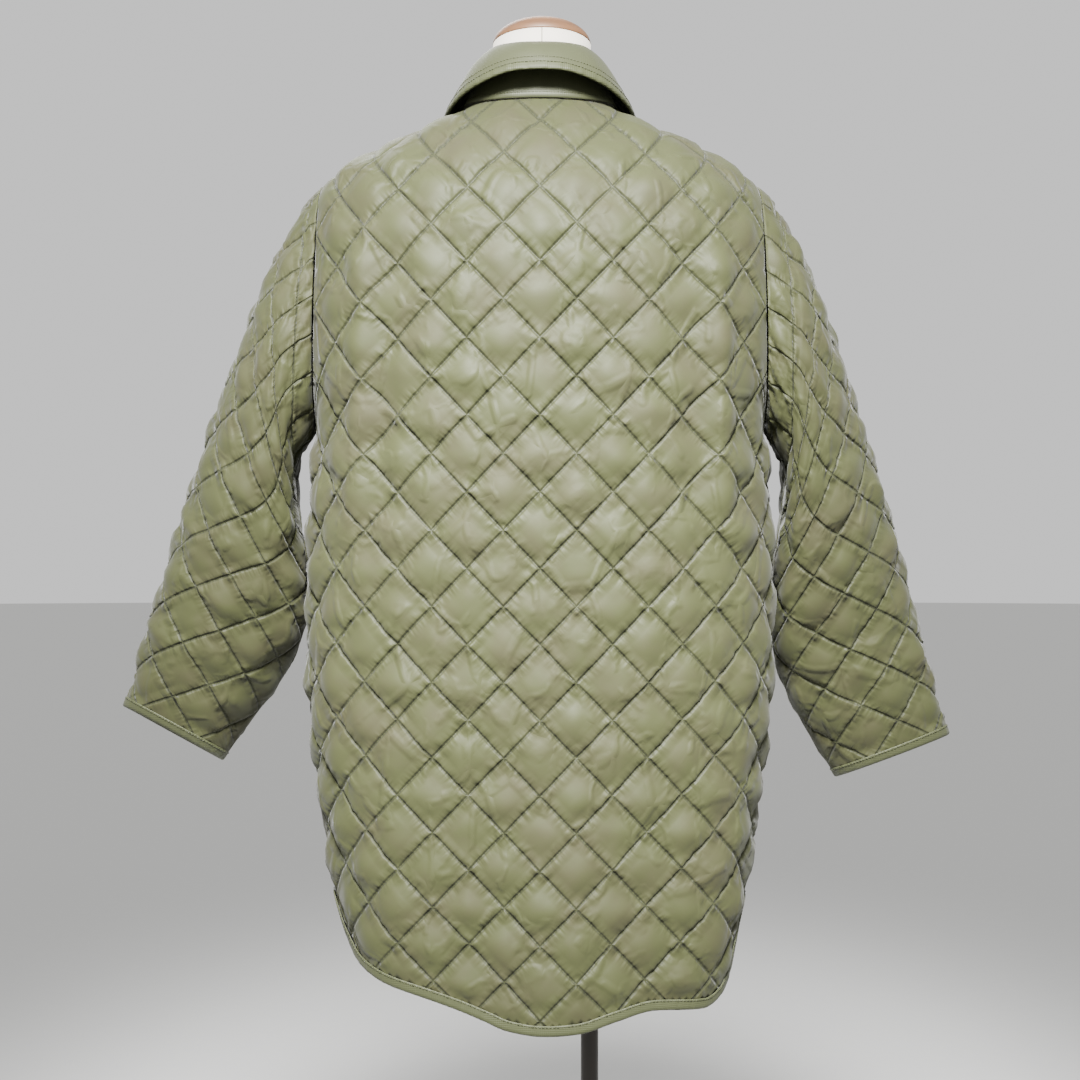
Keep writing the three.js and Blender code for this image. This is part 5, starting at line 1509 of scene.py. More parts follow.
@dataclass
class JacketBody:
    """Back and two fronts."""

    drape: BodyDrape
    quilting: Quilting = field(default_factory=lambda: Quilting(BODY_DIAMOND_HEIGHT, BACK_CROSSING_HEIGHT))
    slack: float = 2.0
    seam_sink: float = 1.0
    # Share of the quilting's height that is left on the lap, and the strip beside it where it comes back
    lap_share: float = 0.18
    lap_strip: tuple[float, float] = (4.0, 26.0)

    # Flat rectangle that holds the panels, and the strip past the armhole's ends where it is still scored
    HALF_WIDTH = 330
    BACK_FOOT = 446
    FRONT_FOOT = 515
    ARMHOLE_STRIP = 12
    OFF_ARMHOLE = 50.0
    # Strip beside the armhole where body and sleeve share their wall's direction
    RIM = 12
    # Start of the front's slack, so that it isn't the back's again
    FRONT_START = 400

    def front_neck(self, s: Array) -> Array:
        """Height of the front neck line.

        Args:
            s: Distances round.

        Returns:
            The heights.
        """
        reach = float(self.drape.length(Side.FRONT, np.array(BACK_NECK))) - SEAM_GAP / 2
        return FRONT_NECK + (BACK_NECK - FRONT_NECK) * np.minimum(np.abs(s) / reach, 1.2) ** NECK_CURVE_POWER

    def trim(self, bm: Mesh, side: Side, levels: Sequence[Callable]) -> None:
        """Cuts a flat panel to its seams, armholes and the given lines.

        Args:
            bm: The flat panel.
            side: Back or front.
            levels: Levels that are positive inside the panel.
        """
        drape = self.drape

        def seam(s: Array, z: Array) -> Array:
            """Distance inside the side seam."""
            return drape.length(side, z) - SEAM_GAP / 2 - np.abs(s)

        def beside(s: Array, z: Array) -> Array:
            """Distance inside the armhole, where it runs."""
            near = (z > UNDERARM - self.ARMHOLE_STRIP) & (z < SHOULDER_TIP + self.ARMHOLE_STRIP)
            return np.where(near, drape.beside_armhole(side, s, z), self.OFF_ARMHOLE)

        def kept(s: Array, z: Array) -> Array:
            """Whether a place is inside the panel."""
            inside = (beside(s, z) > 0) | (z < UNDERARM) | (z > SHOULDER_TIP)
            for level in (seam, *levels):
                inside &= level(s, z) > 0
            return inside

        for level in (seam, *levels, beside):
            score(bm, level)
        for height in (UNDERARM, SHOULDER_TIP):
            score(bm, lambda s, z, at=height: z - at)
        keep_faces(bm, kept)

    def place(self, side: Side, creases: Sequence[Crease], hand: int, hem: Callable) -> Callable:
        """Rule that puts a flat place on the body.

        Args:
            side: Back or front.
            creases: The main creases.
            hand: 0 for the back, or the sign of the front's side.
            hem: Distance above the hem.

        Returns:
            The rule for points and outward directions.
        """
        drape = self.drape

        def at(s: Array, z: Array) -> tuple[Array, Array]:
            """Points and outward directions of flat places."""
            base = drape.point(side, s, z)
            normal = drape.normal(side, s, z)
            rim = (1 - ease(0, self.RIM, np.abs(drape.beside_armhole(side, s, z)))) * (z > UNDERARM - 1)
            rim = (rim * (z < SHOULDER_TIP + 1))[:, None]
            normal = unit(normal * (1 - rim) + drape.armhole_normal(side, s, z) * rim)
            neck = np.full_like(s, BACK_NECK) if side is Side.BACK else self.front_neck(s)
            bound = ease(0, HEM_FADE, hem(s, z)) * ease(0, NECK_FADE, neck - z)
            fade = drape.seam_fade(side, s, z) * (BOUND_SHARE + (1 - BOUND_SHARE) * bound)
            raised = PUFF_HEIGHT * self.quilting.pillow(s, z) + self.quilting.puckers(s, z)
            loose = crease_height(creases, s if hand == 0 else np.abs(s), z)
            loose += self.slack * drape.crumple(s + self.FRONT_START * (side is Side.FRONT), z)
            level = drape.fold(side, s, z) - self.seam_sink * (1 - fade)
            if hand:
                lapped = ease(LAP_WIDTH + self.lap_strip[0], LAP_WIDTH + self.lap_strip[1], np.abs(s))
                raised, loose = raised * (self.lap_share + (1 - self.lap_share) * lapped), loose * lapped
            if hand > 0:
                level = level - LAP_INSET * (1 - ease(LAP_BLEND_START, LAP_BLEND_END, s))
            level = level + CLOTH_WALL + fade * (raised + loose)
            return base + normal * level[:, None], normal

        return at

    def back(self) -> Piece:
        """The back panel, cut, quilted and hung."""
        drape = self.drape
        hem = Profile(BACK_HEM, "share", "z")

        def above_hem(s: Array, z: Array) -> Array:
            """Distance above the hem."""
            return z - hem(s / drape.length(Side.BACK, z))

        bm = self.quilting.flat(-self.HALF_WIDTH, self.HALF_WIDTH, self.BACK_FOOT, BACK_NECK)
        self.trim(bm, Side.BACK, (lambda s, z: BACK_NECK - SEAM_GAP / 2 - z, above_hem))
        cut = lay_panel(bm, self.quilting, self.place(Side.BACK, BACK_CREASES, 0, above_hem))
        return hang("back_panel", bm, "back")

    def front(self, hand: Hand) -> Piece:
        """One front panel; the wearer's right laps over the left.

        Args:
            hand: Which front.

        Returns:
            The panel.
        """
        drape, sign = self.drape, hand.value
        hem = Profile(FRONT_HEM, "share", "z")
        edge = -LAP_WIDTH * sign
        low, high = sorted((edge - 5 * sign, self.HALF_WIDTH * sign))

        def above_hem(s: Array, z: Array) -> Array:
            """Distance above the hem."""
            return z - hem(np.clip(sign * s / drape.length(Side.FRONT, z), 0, 1))

        bm = self.quilting.flat(low, high, self.FRONT_FOOT, BACK_NECK)

        def below_neck(s: Array, z: Array) -> Array:
            """Distance below the neck line."""
            return self.front_neck(s) - SEAM_GAP / 2 - z

        self.trim(bm, Side.FRONT, (below_neck, above_hem, lambda s, z: sign * (s - edge)))
        cut = lay_panel(bm, self.quilting, self.place(Side.FRONT, FRONT_CREASES, sign, above_hem))
        return hang(f"front_panel_{hand.word}", bm, f"front_{hand.word}")


# Sleeves


class SleeveSurface:
    """Surface of one sleeve with its cloth lengths, for the +X side."""

    AROUND = 96
    ALONG = 90
    # Turns of the search for a flat place, and halvings in each
    ROUNDS = 10
    HALVINGS = 18
    # Table steps either way that a normal is taken over
    REACH = 0.8

    def __init__(self, drape: BodyDrape, sections: Sequence[SleeveSection]) -> None:
        """Runs smooth ways from the armhole through the sections.

        Args:
            drape: The body, for the armhole.
            sections: The sections from the armhole to the cuff.
        """
        self.drape = drape
        self.turns = np.linspace(-math.pi, math.pi, self.AROUND + 1)
        loop = self.armhole_loop(self.turns)
        ways = np.stack([loop + [ARMHOLE_GAP, 0, 0]] + [self.section(row, self.turns) for row in sections])
        self.points = self.smooth(ways)
        step = np.linalg.norm(np.diff(self.points, axis=0), axis=2)
        middle = self.AROUND // 2
        around = np.zeros((self.AROUND + 1, self.ALONG + 1))
        around[middle + 1 :] = step[middle:].cumsum(axis=0)
        around[:middle] = -step[:middle][::-1].cumsum(axis=0)[::-1]
        self.around = around
        fall = np.linalg.norm(np.diff(self.points, axis=1), axis=2)
        along = np.zeros_like(around)
        along[:, :-1] = fall[:, ::-1].cumsum(axis=1)[:, ::-1]
        self.along = along

    def armhole_loop(self, turn: Array) -> Array:
        """Points of the armhole, from the shoulder round the back.

        Args:
            turn: Angles; a quarter turn is at the back.

        Returns:
            Rows of x, y and z.
        """
        z = (SHOULDER_TIP + UNDERARM) / 2 + (SHOULDER_TIP - UNDERARM) / 2 * np.cos(turn)
        roundness = self.drape.roundness(z)
        reach = self.drape.armhole_x(z)
        hidden = np.maximum(0, 1 - (reach / self.drape.half_width(z)) ** roundness) ** (1 / roundness)
        back = np.sin(turn) >= 0
        depth = np.where(back, self.drape.depth[Side.BACK](z), -self.drape.depth[Side.FRONT](z))
        return np.stack((reach, SIDE_SEAM_Y + depth * hidden, z), axis=-1)

    def rim_normals(self) -> Array:
        """Shared wall directions at each turn of the armhole."""
        loop = self.armhole_loop(self.turns)
        found = []
        for point, turn in zip(loop, self.turns):
            side = Side.BACK if math.sin(turn) >= 0 else Side.FRONT
            height = np.array([point[2]])
            xs, _, total = self.drape.table[side]
            level = int((point[2] - self.drape.levels[0]) / self.drape.LEVEL_STEP)
            share = np.interp(point[0], xs[level], np.linspace(0, 1, self.drape.SHARES))
            found.append(self.drape.armhole_normal(side, np.array([share * total[level]]), height)[0])
        return np.array(found)

    @staticmethod
    def section(row: SleeveSection, turn: Array) -> Array:
        """Points of one section.

        Args:
            row: The section.
            turn: Angles; nought is at the outer point.

        Returns:
            Rows of x, y and z.
        """
        across, deep = np.cos(turn), np.sin(turn) * row.depth
        x = (row.outer_x + row.inner_x) / 2 + across * (row.outer_x - row.inner_x) / 2
        z = (row.outer_z + row.inner_z) / 2 + across * (row.outer_z - row.inner_z) / 2 + row.tilt * deep
        return np.stack((x, row.y + deep, z), axis=-1)

    def smooth(self, ways: Array) -> Array:
        """Smooth ways through the sections.

        Args:
            ways: Points by section and turn.

        Returns:
            Points by turn and step along.
        """
        last = len(ways) - 1
        at = np.linspace(0, last, self.ALONG + 1)
        row = np.minimum(at.astype(int), last - 1)
        t = (at - row)[:, None, None]
        tangent = np.gradient(ways, axis=0)
        points = hermite(t, ways[row], tangent[row], ways[row + 1], tangent[row + 1])
        return points.transpose(1, 0, 2)

    def places(self, s: Array, v: Array) -> tuple[Array, Array]:
        """Table places of flat cloth places, by halving.

        Args:
            s: Distances round from the outer line.
            v: Heights above the cuff.

        Returns:
            Places round and along.
        """
        i = np.full_like(s, self.AROUND / 2)
        j = np.full_like(s, self.ALONG / 2)
        for _ in range(self.ROUNDS):
            low, high = np.zeros_like(s), np.full_like(s, self.AROUND)
            for _ in range(self.HALVINGS):
                i = (low + high) / 2
                more = between(self.around, i, j) < s
                low, high = np.where(more, i, low), np.where(more, high, i)
            low, high = np.zeros_like(s), np.full_like(s, self.ALONG)
            for _ in range(self.HALVINGS):
                j = (low + high) / 2
                more = between(self.along, i, j) > v
                low, high = np.where(more, j, low), np.where(more, high, j)
        return i, j

    def normals(self, i: Array, j: Array) -> Array:
        """Ways out of the surface at table places.

        Args:
            i: Places round.
            j: Places along.

        Returns:
            Unit vectors.
        """
        ahead, behind = np.minimum(i + self.REACH, self.AROUND), np.maximum(i - self.REACH, 0)
        lower, upper = np.minimum(j + self.REACH, self.ALONG), np.maximum(j - self.REACH, 0)
        across = between(self.points, ahead, j) - between(self.points, behind, j)
        down = between(self.points, i, lower) - between(self.points, i, upper)
        return unit(np.cross(down, across))


@dataclass
class Sleeve:
    """One quilted sleeve in one piece, seamed below the arm."""

    drape: BodyDrape
    hand: Hand
    sections: Sequence[SleeveSection]
    seed: int
    quilting: Quilting = field(
        default_factory=lambda: Quilting(SLEEVE_DIAMOND_HEIGHT, SLEEVE_CROSSING_HEIGHT)
    )
    slack: float = 2.2
    gather: float = 2.6
    gather_spacing: float = 19.0
    gather_reach: float = 42.0

    # Strips below the cap's edge: where its wall turns with the body's, and where its gathers start
    RIM = 14
    CAP_STRIP = 9
    CAP_SINK = 0.4
    # Uneven spacing of the gathers: size and length of the sway; uneven height: mean, range and length
    GATHER_SWAY = (1.3, 31)
    GATHER_SHARE = (0.55, 0.45, 47)

    def __post_init__(self) -> None:
        """Works out the surface and its limits."""
        self.surface = SleeveSurface(self.drape, self.sections)
        self.rims = self.surface.rim_normals()
        self.crumple = Crumple(self.seed)

    def cap(self, s: Array) -> Array:
        """Height of the cap's edge above the cuff.

        Args:
            s: Distances round.

        Returns:
            The heights.
        """
        return np.interp(s, self.surface.around[:, 0], self.surface.along[:, 0])

    def seam_level(self, s: Array, v: Array) -> Array:
        """Distance inside the underarm seam.

        Args:
            s: Distances round.
            v: Heights above the cuff.

        Returns:
            Millimetres, negative outside.
        """
        surface = self.surface
        back = np.interp(v, surface.along[-1, ::-1], surface.around[-1, ::-1])
        front = np.interp(v, surface.along[0, ::-1], surface.around[0, ::-1])
        return np.where(s > 0, back - s, s - front) - SEAM_GAP / 2

    def place(self, s: Array, v: Array) -> tuple[Array, Array]:
        """Puts flat places on the sleeve.

        Args:
            s: Distances round.
            v: Heights above the cuff.

        Returns:
            Points and outward directions.
        """
        surface = self.surface
        i, j = surface.places(s, v)
        point = between(surface.points, i, j)
        below = np.maximum(self.cap(s) - v, 0)
        rim = (1 - ease(0, self.RIM, below))[:, None]
        turn = np.arange(surface.AROUND + 1)
        shared = np.stack([np.interp(i, turn, self.rims[:, k]) for k in range(3)], axis=-1)
        normal = unit(surface.normals(i, j) * (1 - rim) + shared * rim)
        seam = self.seam_level(s, v)
        fade = np.clip(seam / SEAM_FADE, 0, 1) * ease(FADE_START, ARMHOLE_FADE, below)
        fade *= BOUND_SHARE + (1 - BOUND_SHARE) * ease(0, HEM_FADE, v)
        raised = SLEEVE_PUFF_HEIGHT * self.quilting.pillow(s, v) + self.quilting.puckers(s, v)
        loose = crease_height(SLEEVE_CREASES, s, v) + self.slack * self.crumple(s, v)
        size, length = self.GATHER_SWAY
        ripple = np.sin(TURN * s / self.gather_spacing + size * np.sin(s / length))
        mean, spread, length = self.GATHER_SHARE
        ripple *= mean + spread * np.sin(s / length + self.seed)
        free = ease(0, self.CAP_STRIP, below)
        gathered = self.gather * ripple * np.exp(-below / self.gather_reach) * free
        gathered *= np.clip(seam / SEAM_FADE, 0, 1)
        level = CLOTH_WALL + fade * (raised + loose) + gathered - (1 - free) * self.CAP_SINK
        point = point + normal * level[:, None]
        return point * self.hand.mirror, normal * self.hand.mirror

    def build(self) -> Piece:
        """The sleeve, cut, quilted and set in."""
        top = float(self.surface.along[:, 0].max())
        half = float(np.abs(self.surface.around).max())
        bm = self.quilting.flat(-half, half, 0, top)
        for level in (lambda s, v: v, lambda s, v: self.cap(s) - v, self.seam_level):
            score(bm, level)
        keep_faces(bm, lambda s, v: (v > 0) & (self.cap(s) > v) & (self.seam_level(s, v) > 0))
        cut = lay_panel(bm, self.quilting, self.place)
        return hang(f"sleeve_panel_{self.hand.word}", bm, f"sleeve_{self.hand.word}")


# Bindings


@dataclass
class EdgeLine:
    """Edge of a panel: middle of its wall, way out of the cloth and way past the edge."""

    middles: Array
    normals: Array
    beyond: Array


def edge_line(middles: Array, normals: Array, inward: Array, closed: bool = False) -> EdgeLine:
    """Edge with its ways past the cloth.

    Args:
        middles: Points of the edge.
        normals: Ways out of the cloth.
        inward: A point inside the cloth for each point of the edge.
        closed: Whether the edge is a ring.

    Returns:
        The edge line.
    """
    ahead = np.roll(middles, -1, axis=0) - middles
    behind = middles - np.roll(middles, 1, axis=0)
    if not closed:
        ahead[-1] = behind[-1]
        behind[0] = ahead[0]
    parts = []
    for run in (unit(behind), unit(ahead)):
        away = unit(np.cross(run, normals))
        wrong = (away * (inward - middles)).sum(axis=1) > 0
        away[wrong] *= -1
        parts.append(away)
    away = unit(parts[0] + parts[1])
    open_share = np.maximum(0.6, (away * parts[0]).sum(axis=1))
    return EdgeLine(middles, normals, away / open_share[:, None])


@dataclass
class Binding:
    """Folded tape over an edge, with one row of stitches near its lip."""

    name: str
    node: str
    line: EdgeLine
    width: float = BINDING_WIDTH
    wall: float = CLOTH_WALL
    closed: bool = False
    near_y: float = -10000.0
    far_y: float = 10000.0

    # Share of the width where the tape's core lies, for telling its outside
    CORE = 0.3
    # Fine pinches along the tape: height and length of both waves
    PINCHES = ((0.16, 13, 0), (0.12, 7.7, 1))

    def section(self) -> tuple[tuple[float, float], ...]:
        """Distance past the edge and height over the wall's middle, round the tape from its outer lip."""
        half, lip, width = self.wall / 2, BINDING_LIP, self.width
        outer = ((-lip, 0.35), (-lip * 0.7, 0.85), (0.6, 0.7), (width * 0.5, 0.95), (width * 0.84, 0.7))
        inner = ((width * 0.84, 0.5), (width * 0.5, 0.6), (0.6, 0.5), (-lip * 0.7, 0.6), (-lip, 0.3))
        turned = ((width * 0.97, half * 0.6), (width, 0.0), (width * 0.97, -half * 0.6))
        above = tuple((out, half + rise) for out, rise in outer)
        return (*above, *turned, *((out, -half - rise) for out, rise in inner))

    def build(self) -> Piece:
        """The tape, folded over its edge."""
        section = self.section()
        line = self.line
        step = np.linalg.norm(np.diff(line.middles, axis=0), axis=1)
        run = np.concatenate(([0], step.cumsum()))
        pinch = sum(height * np.sin(run * TURN / length + phase) for height, length, phase in self.PINCHES)
        columns = []
        for out, rise in section:
            lift = rise + pinch * (1 if rise > 0 else -1) * (out > -BINDING_LIP)
            columns.append(line.middles + line.beyond * out + line.normals * lift[:, None])
        points = np.stack(columns, axis=1)
        points[..., 1] = np.clip(points[..., 1], self.near_y, self.far_y)
        bm = grid_mesh(points, wrap=self.closed)
        core = line.middles + line.beyond * self.width * self.CORE
        guide = grid_mesh(points - core[:, None], wrap=self.closed)
        face_outwards(bm, flat_places(guide))
        guide.free()
        piece = make_piece(self.name, bm, TAPE)
        thicken(piece, BINDING_CLOTH, -1)
        seat(piece, "tape", self.node)
        return piece

    def stitches(self) -> tuple[Array, Array]:
        """Line of the stitching and its way out."""
        line = self.line
        points = line.middles - line.beyond * BINDING_LIP * 0.35 + line.normals * (self.wall / 2 + 1.0)
        return points, line.normals


@dataclass
class Bindings:
    """All the folded tapes of the body and cuffs."""

    drape: BodyDrape
    body: JacketBody
    sleeves: Sequence[Sleeve]

    # Last share of the way to a side seam, and points of a hem, a front edge and a cuff
    END = 0.9995
    HEM_POINTS = 220
    EDGE_POINTS = 200
    CUFF_POINTS = 150
    # Distance up from a hem of a point that is surely inside the cloth, and its share of the way round
    INSIDE = 12
    TOWARDS_MIDDLE = 0.96

    def body_edge(self, side: Side, s: Array, z: Array, inset: Array) -> tuple[Array, Array]:
        """Middle of the wall at the edge of a body panel.

        Args:
            side: Back or front.
            s: Distances round.
            z: Heights.
            inset: How far the panel is let in.

        Returns:
            Points and outward directions.
        """
        normal = self.drape.normal(side, s, z)
        level = self.drape.fold(side, s, z) - inset + CLOTH_WALL / 2
        return self.drape.point(side, s, z) + normal * level[:, None], normal

    def back_hem(self) -> Binding:
        """Tape of the back hem."""
        hem = Profile(BACK_HEM, "share", "z")
        share = np.linspace(-self.END, self.END, self.HEM_POINTS)
        z = hem(share)
        s = share * self.drape.length(Side.BACK, z)
        edge, normals = self.body_edge(Side.BACK, s, z, np.zeros_like(s))
        inner, _ = self.body_edge(Side.BACK, s * self.TOWARDS_MIDDLE, z + self.INSIDE, np.zeros_like(s))
        line = edge_line(edge, normals, inner)
        return Binding("binding_tape_back_hem", "binding_back_hem", line, near_y=SIDE_SEAM_Y + SEAM_GAP / 2)

    def front_edge(self, hand: Hand) -> Binding:
        """Tape of one front's hem and front edge.

        Args:
            hand: Which front.

        Returns:
            The binding.
        """
        sign = hand.value
        hem = Profile(FRONT_HEM, "share", "z")
        edge_s = -LAP_WIDTH * sign
        share = np.linspace(self.END, 0.0, self.HEM_POINTS // 2)
        z = hem(share)
        s = sign * share * self.drape.length(Side.FRONT, z)
        low = hem(np.zeros(1))[0]
        flat = np.linspace(0, edge_s, 6)[1:]
        top = float(self.body.front_neck(np.array([edge_s]))[0]) - SEAM_GAP / 2
        rise = np.linspace(low, top, self.EDGE_POINTS)[1:]
        s = np.concatenate((s, flat, np.full_like(rise, edge_s)))
        z = np.concatenate((z, np.full_like(flat, low), rise))
        inset = LAP_INSET * (1 - ease(LAP_BLEND_START, LAP_BLEND_END, s)) if sign > 0 else np.zeros_like(s)
        edge, normals = self.body_edge(Side.FRONT, s, z, inset)
        inner_s, inner_z = s * self.TOWARDS_MIDDLE + sign * self.INSIDE, np.minimum(z + self.INSIDE, top)
        inner, _ = self.body_edge(Side.FRONT, inner_s, inner_z, inset)
        line = edge_line(edge, normals, inner)
        limit = SIDE_SEAM_Y - SEAM_GAP / 2
        return Binding(f"binding_tape_front_{hand.word}", f"binding_front_{hand.word}", line, far_y=limit)

    def cuff(self, sleeve: Sleeve) -> Binding:
        """Tape of one cuff.

        Args:
            sleeve: The sleeve.

        Returns:
            The binding.
        """
        surface = sleeve.surface
        i = np.linspace(0, surface.AROUND, self.CUFF_POINTS + 1)[:-1]
        j = np.full_like(i, surface.ALONG)
        normals = surface.normals(i, j)
        mirror, word = sleeve.hand.mirror, sleeve.hand.word
        edge = between(surface.points, i, j) + normals * CLOTH_WALL / 2
        inner = between(surface.points, i, j - 2)
        line = edge_line(edge * mirror, normals * mirror, inner * mirror, closed=True)
        return Binding(f"binding_tape_cuff_{word}", f"binding_cuff_{word}", line, closed=True)

    def build(self) -> list[Binding]:
        """All the tapes, in place."""
        made = [self.back_hem(), self.front_edge(Hand.LEFT), self.front_edge(Hand.RIGHT)]
        made += [self.cuff(sleeve) for sleeve in self.sleeves]
        for binding in made:
            binding.build()
        return made


# Collar


@dataclass
class Collar:
    """Stand, fall and bound edge of the shirt collar."""

    drape: BodyDrape
    body: JacketBody
    columns: int = 281
    stand_rows: int = 12
    fall_rows: int = 20
    wrinkle: float = 0.7

    # Mean radii that turn angles into cloth lengths, and how far the outward hint points up
    STAND_RADIUS = 60
    FALL_RADIUS = 90
    HINT_RISE = 12
    # Place of the control point of the fall's roll between its top and its edge
    ROLL_SHARE = 0.42
    # Points in from the fall's ends and edge where its inner row of stitches runs
    ROW_ENDS = 6
    ROW_INSET = 4
    STITCH_LIFT = 0.05
    # Lengths of the wrinkles of the stand and of the two waves of the fall, and the height of those
    WRINKLE_LENGTHS = (4.7, 19, 13)
    FALL_LENGTHS = (15, 8.3)
    FALL_WAVE = 0.45
    # Share of the roll that goes outwards, and clearance of the fall's top over the stand
    ROLL_OUT = 0.6
    TOP_CLEARANCE = 0.6
    TOP_RISE = 1.2

    def turns(self) -> Array:
        """Turns about the neck, from the wearer's right front to the left."""
        return np.linspace(-COLLAR_END_TURN, COLLAR_END_TURN, self.columns)

    def station(self, kind: str) -> Array:
        """Fold or edge points at every turn.

        Args:
            kind: fold or edge.

        Returns:
            Rows of x, y and z.
        """
        turn = self.turns()
        x, y, z = (Profile(COLLAR_STATIONS, "turn", f"{kind}_{axis}")(np.abs(turn)) for axis in "xyz")
        return np.stack((np.sign(turn) * x, y, z), axis=-1)

    def neck_seam(self) -> Array:
        """Foot of the stand at every turn, just above the panels."""
        turn = self.turns()
        at = np.abs(turn)
        found = np.zeros((len(turn), 3))
        for side in Side:
            mine = (at <= 90) == (side is Side.BACK)
            share = at[mine] / 90 if side is Side.BACK else (180 - at[mine]) / 90
            s = np.sign(turn[mine]) * share * self.drape.length(side, np.full(mine.sum(), BACK_NECK))
            z = np.full(mine.sum(), BACK_NECK) if side is Side.BACK else self.body.front_neck(s)
            point = self.drape.point(side, s, z)
            normal = self.drape.normal(side, s * 0.995, z)
            point = point + normal * CLOTH_WALL / 2
            lift = STAND_RISE + STAND_SIDE_RISE * np.sin(np.radians(at[mine])) ** 4
            point[:, 2] += lift + np.maximum(0, normal[:, 2]) * CLOTH_WALL / 2
            found[mine] = point
        return found

    def stand_points(self) -> Array:
        """Middle of the stand's cloth, with its wrinkles."""
        foot, fold = self.neck_seam(), self.station("fold")
        share = np.linspace(0, 1, self.stand_rows)[None, :, None]
        points = foot[:, None] * (1 - share) + fold[:, None] * share
        out = unit((points - [0, SIDE_SEAM_Y, 0]) * [1, 1, 0])
        run = np.radians(self.turns())[:, None] * self.STAND_RADIUS
        up = share[..., 0]
        fine, slow, height = (run / length for length in self.WRINKLE_LENGTHS)
        wave = np.sin(fine + 2.2 * up + 1.5 * np.sin(slow)) * (0.6 + 0.4 * np.sin(height))
        belly = np.sin(math.pi * up) * (self.wrinkle * wave * ease(0.9, 0.5, up) - 0.4)
        return points + out * belly[..., None]

    def fall_points(self) -> Array:
        """Middle of the fall's cloth, rolled over from the fold."""
        fold, edge = self.station("fold"), self.station("edge")
        away = unit((edge - fold) * [1, 1, 0])
        top = fold + away * (COLLAR_WALL + SEAM_GAP + self.TOP_CLEARANCE) + [0, 0, self.TOP_RISE]
        control = top * (1 - self.ROLL_SHARE) + edge * self.ROLL_SHARE
        control = control + away * COLLAR_ROLL * self.ROLL_OUT + [0, 0, COLLAR_ROLL]
        t = np.linspace(0, 1, self.fall_rows)[None, :, None]
        points = (top[:, None] * (1 - t) + control[:, None] * t) * (1 - t)
        points = points + (control[:, None] * (1 - t) + edge[:, None] * t) * t
        run = np.radians(self.turns())[:, None] * self.FALL_RADIUS
        slow, fine = (run / length for length in self.FALL_LENGTHS)
        wave = np.sin(slow + 1.1) + 0.6 * np.sin(fine + 3 * t[..., 0])
        rise = self.FALL_WAVE * wave * ease(0.05, 0.5, t[..., 0]) * ease(1.3, 0.8, t[..., 0])
        return points + self.normals(points) * rise[..., None]

    @staticmethod
    def normals(points: Array) -> Array:
        """Ways out of a grid, away from the neck.

        Args:
            points: Points by column and row.

        Returns:
            Unit vectors by column and row.
        """
        normal = unit(np.cross(np.gradient(points, axis=0), np.gradient(points, axis=1)))
        hint = points - [0, SIDE_SEAM_Y, 0]
        hint[..., 2] = Collar.HINT_RISE
        return np.where((normal * hint).sum(axis=-1, keepdims=True) < 0, -normal, normal)

    def cloth(self, name: str, node: str, points: Array) -> Piece:
        """One collar piece as a thickened sheet.

        Args:
            name: Its name.
            node: The solid that it stands for.
            points: Its middle points.

        Returns:
            The piece.
        """
        bm = grid_mesh(points)
        spots = flat_places(bm)
        hint = spots - [0, SIDE_SEAM_Y * MM, 0]
        hint[:, 2] = self.HINT_RISE * MM
        face_outwards(bm, hint)
        area = sum(face.calc_area() for face in bm.faces)
        piece = make_piece(name, bm, PLAIN_TAFFETA)
        thicken(piece, COLLAR_WALL, 0)
        seat(piece, "quilted_cloth", node)
        return piece

    def build(self) -> tuple[Binding, list[tuple[Array, Array]]]:
        """Stand, fall and binding.

        Returns:
            The binding and the other rows of stitches.
        """
        stand, fall = self.stand_points(), self.fall_points()
        self.cloth("collar_stand_cloth", "collar_stand", stand)
        self.cloth("collar_fall_cloth", "collar_fall", fall)
        normals = self.normals(fall)
        way = np.concatenate((fall[0], fall[1:-1, -1], fall[-1, ::-1]))
        out = np.concatenate((normals[0], normals[1:-1, -1], normals[-1, ::-1]))
        inset = self.ROW_ENDS
        line = edge_line(way, out, np.concatenate((fall[inset], fall[1:-1, -inset], fall[-1 - inset, ::-1])))
        names = ("binding_tape_collar", "binding_collar")
        binding = Binding(*names, line, width=COLLAR_BINDING_WIDTH, wall=COLLAR_WALL)
        binding.build()
        stand_out = self.normals(stand)
        face, stand_face = (
            points + way_out * (COLLAR_WALL / 2 + self.STITCH_LIFT)
            for points, way_out in ((fall, normals), (stand, stand_out))
        )
        inner = (slice(inset, -inset), -self.ROW_INSET)
        return binding, [(face[inner], normals[inner]), (stand_face[:, 1], stand_out[:, 1])]


@dataclass
class Topstitching:
    """Rows of thread on the tapes and the collar."""

    bindings: Sequence[Binding]
    rows: Sequence[tuple[Array, Array]]

    def build(self) -> Piece:
        """All the rows as one piece."""
        bm = bmesh.new()
        for binding in self.bindings:
            sew(bm, *binding.stitches())
        for points, normals in self.rows:
            sew(bm, points, normals)
        piece = make_piece("topstitching", bm, THREAD)
        seat(piece, "tape")
        return piece


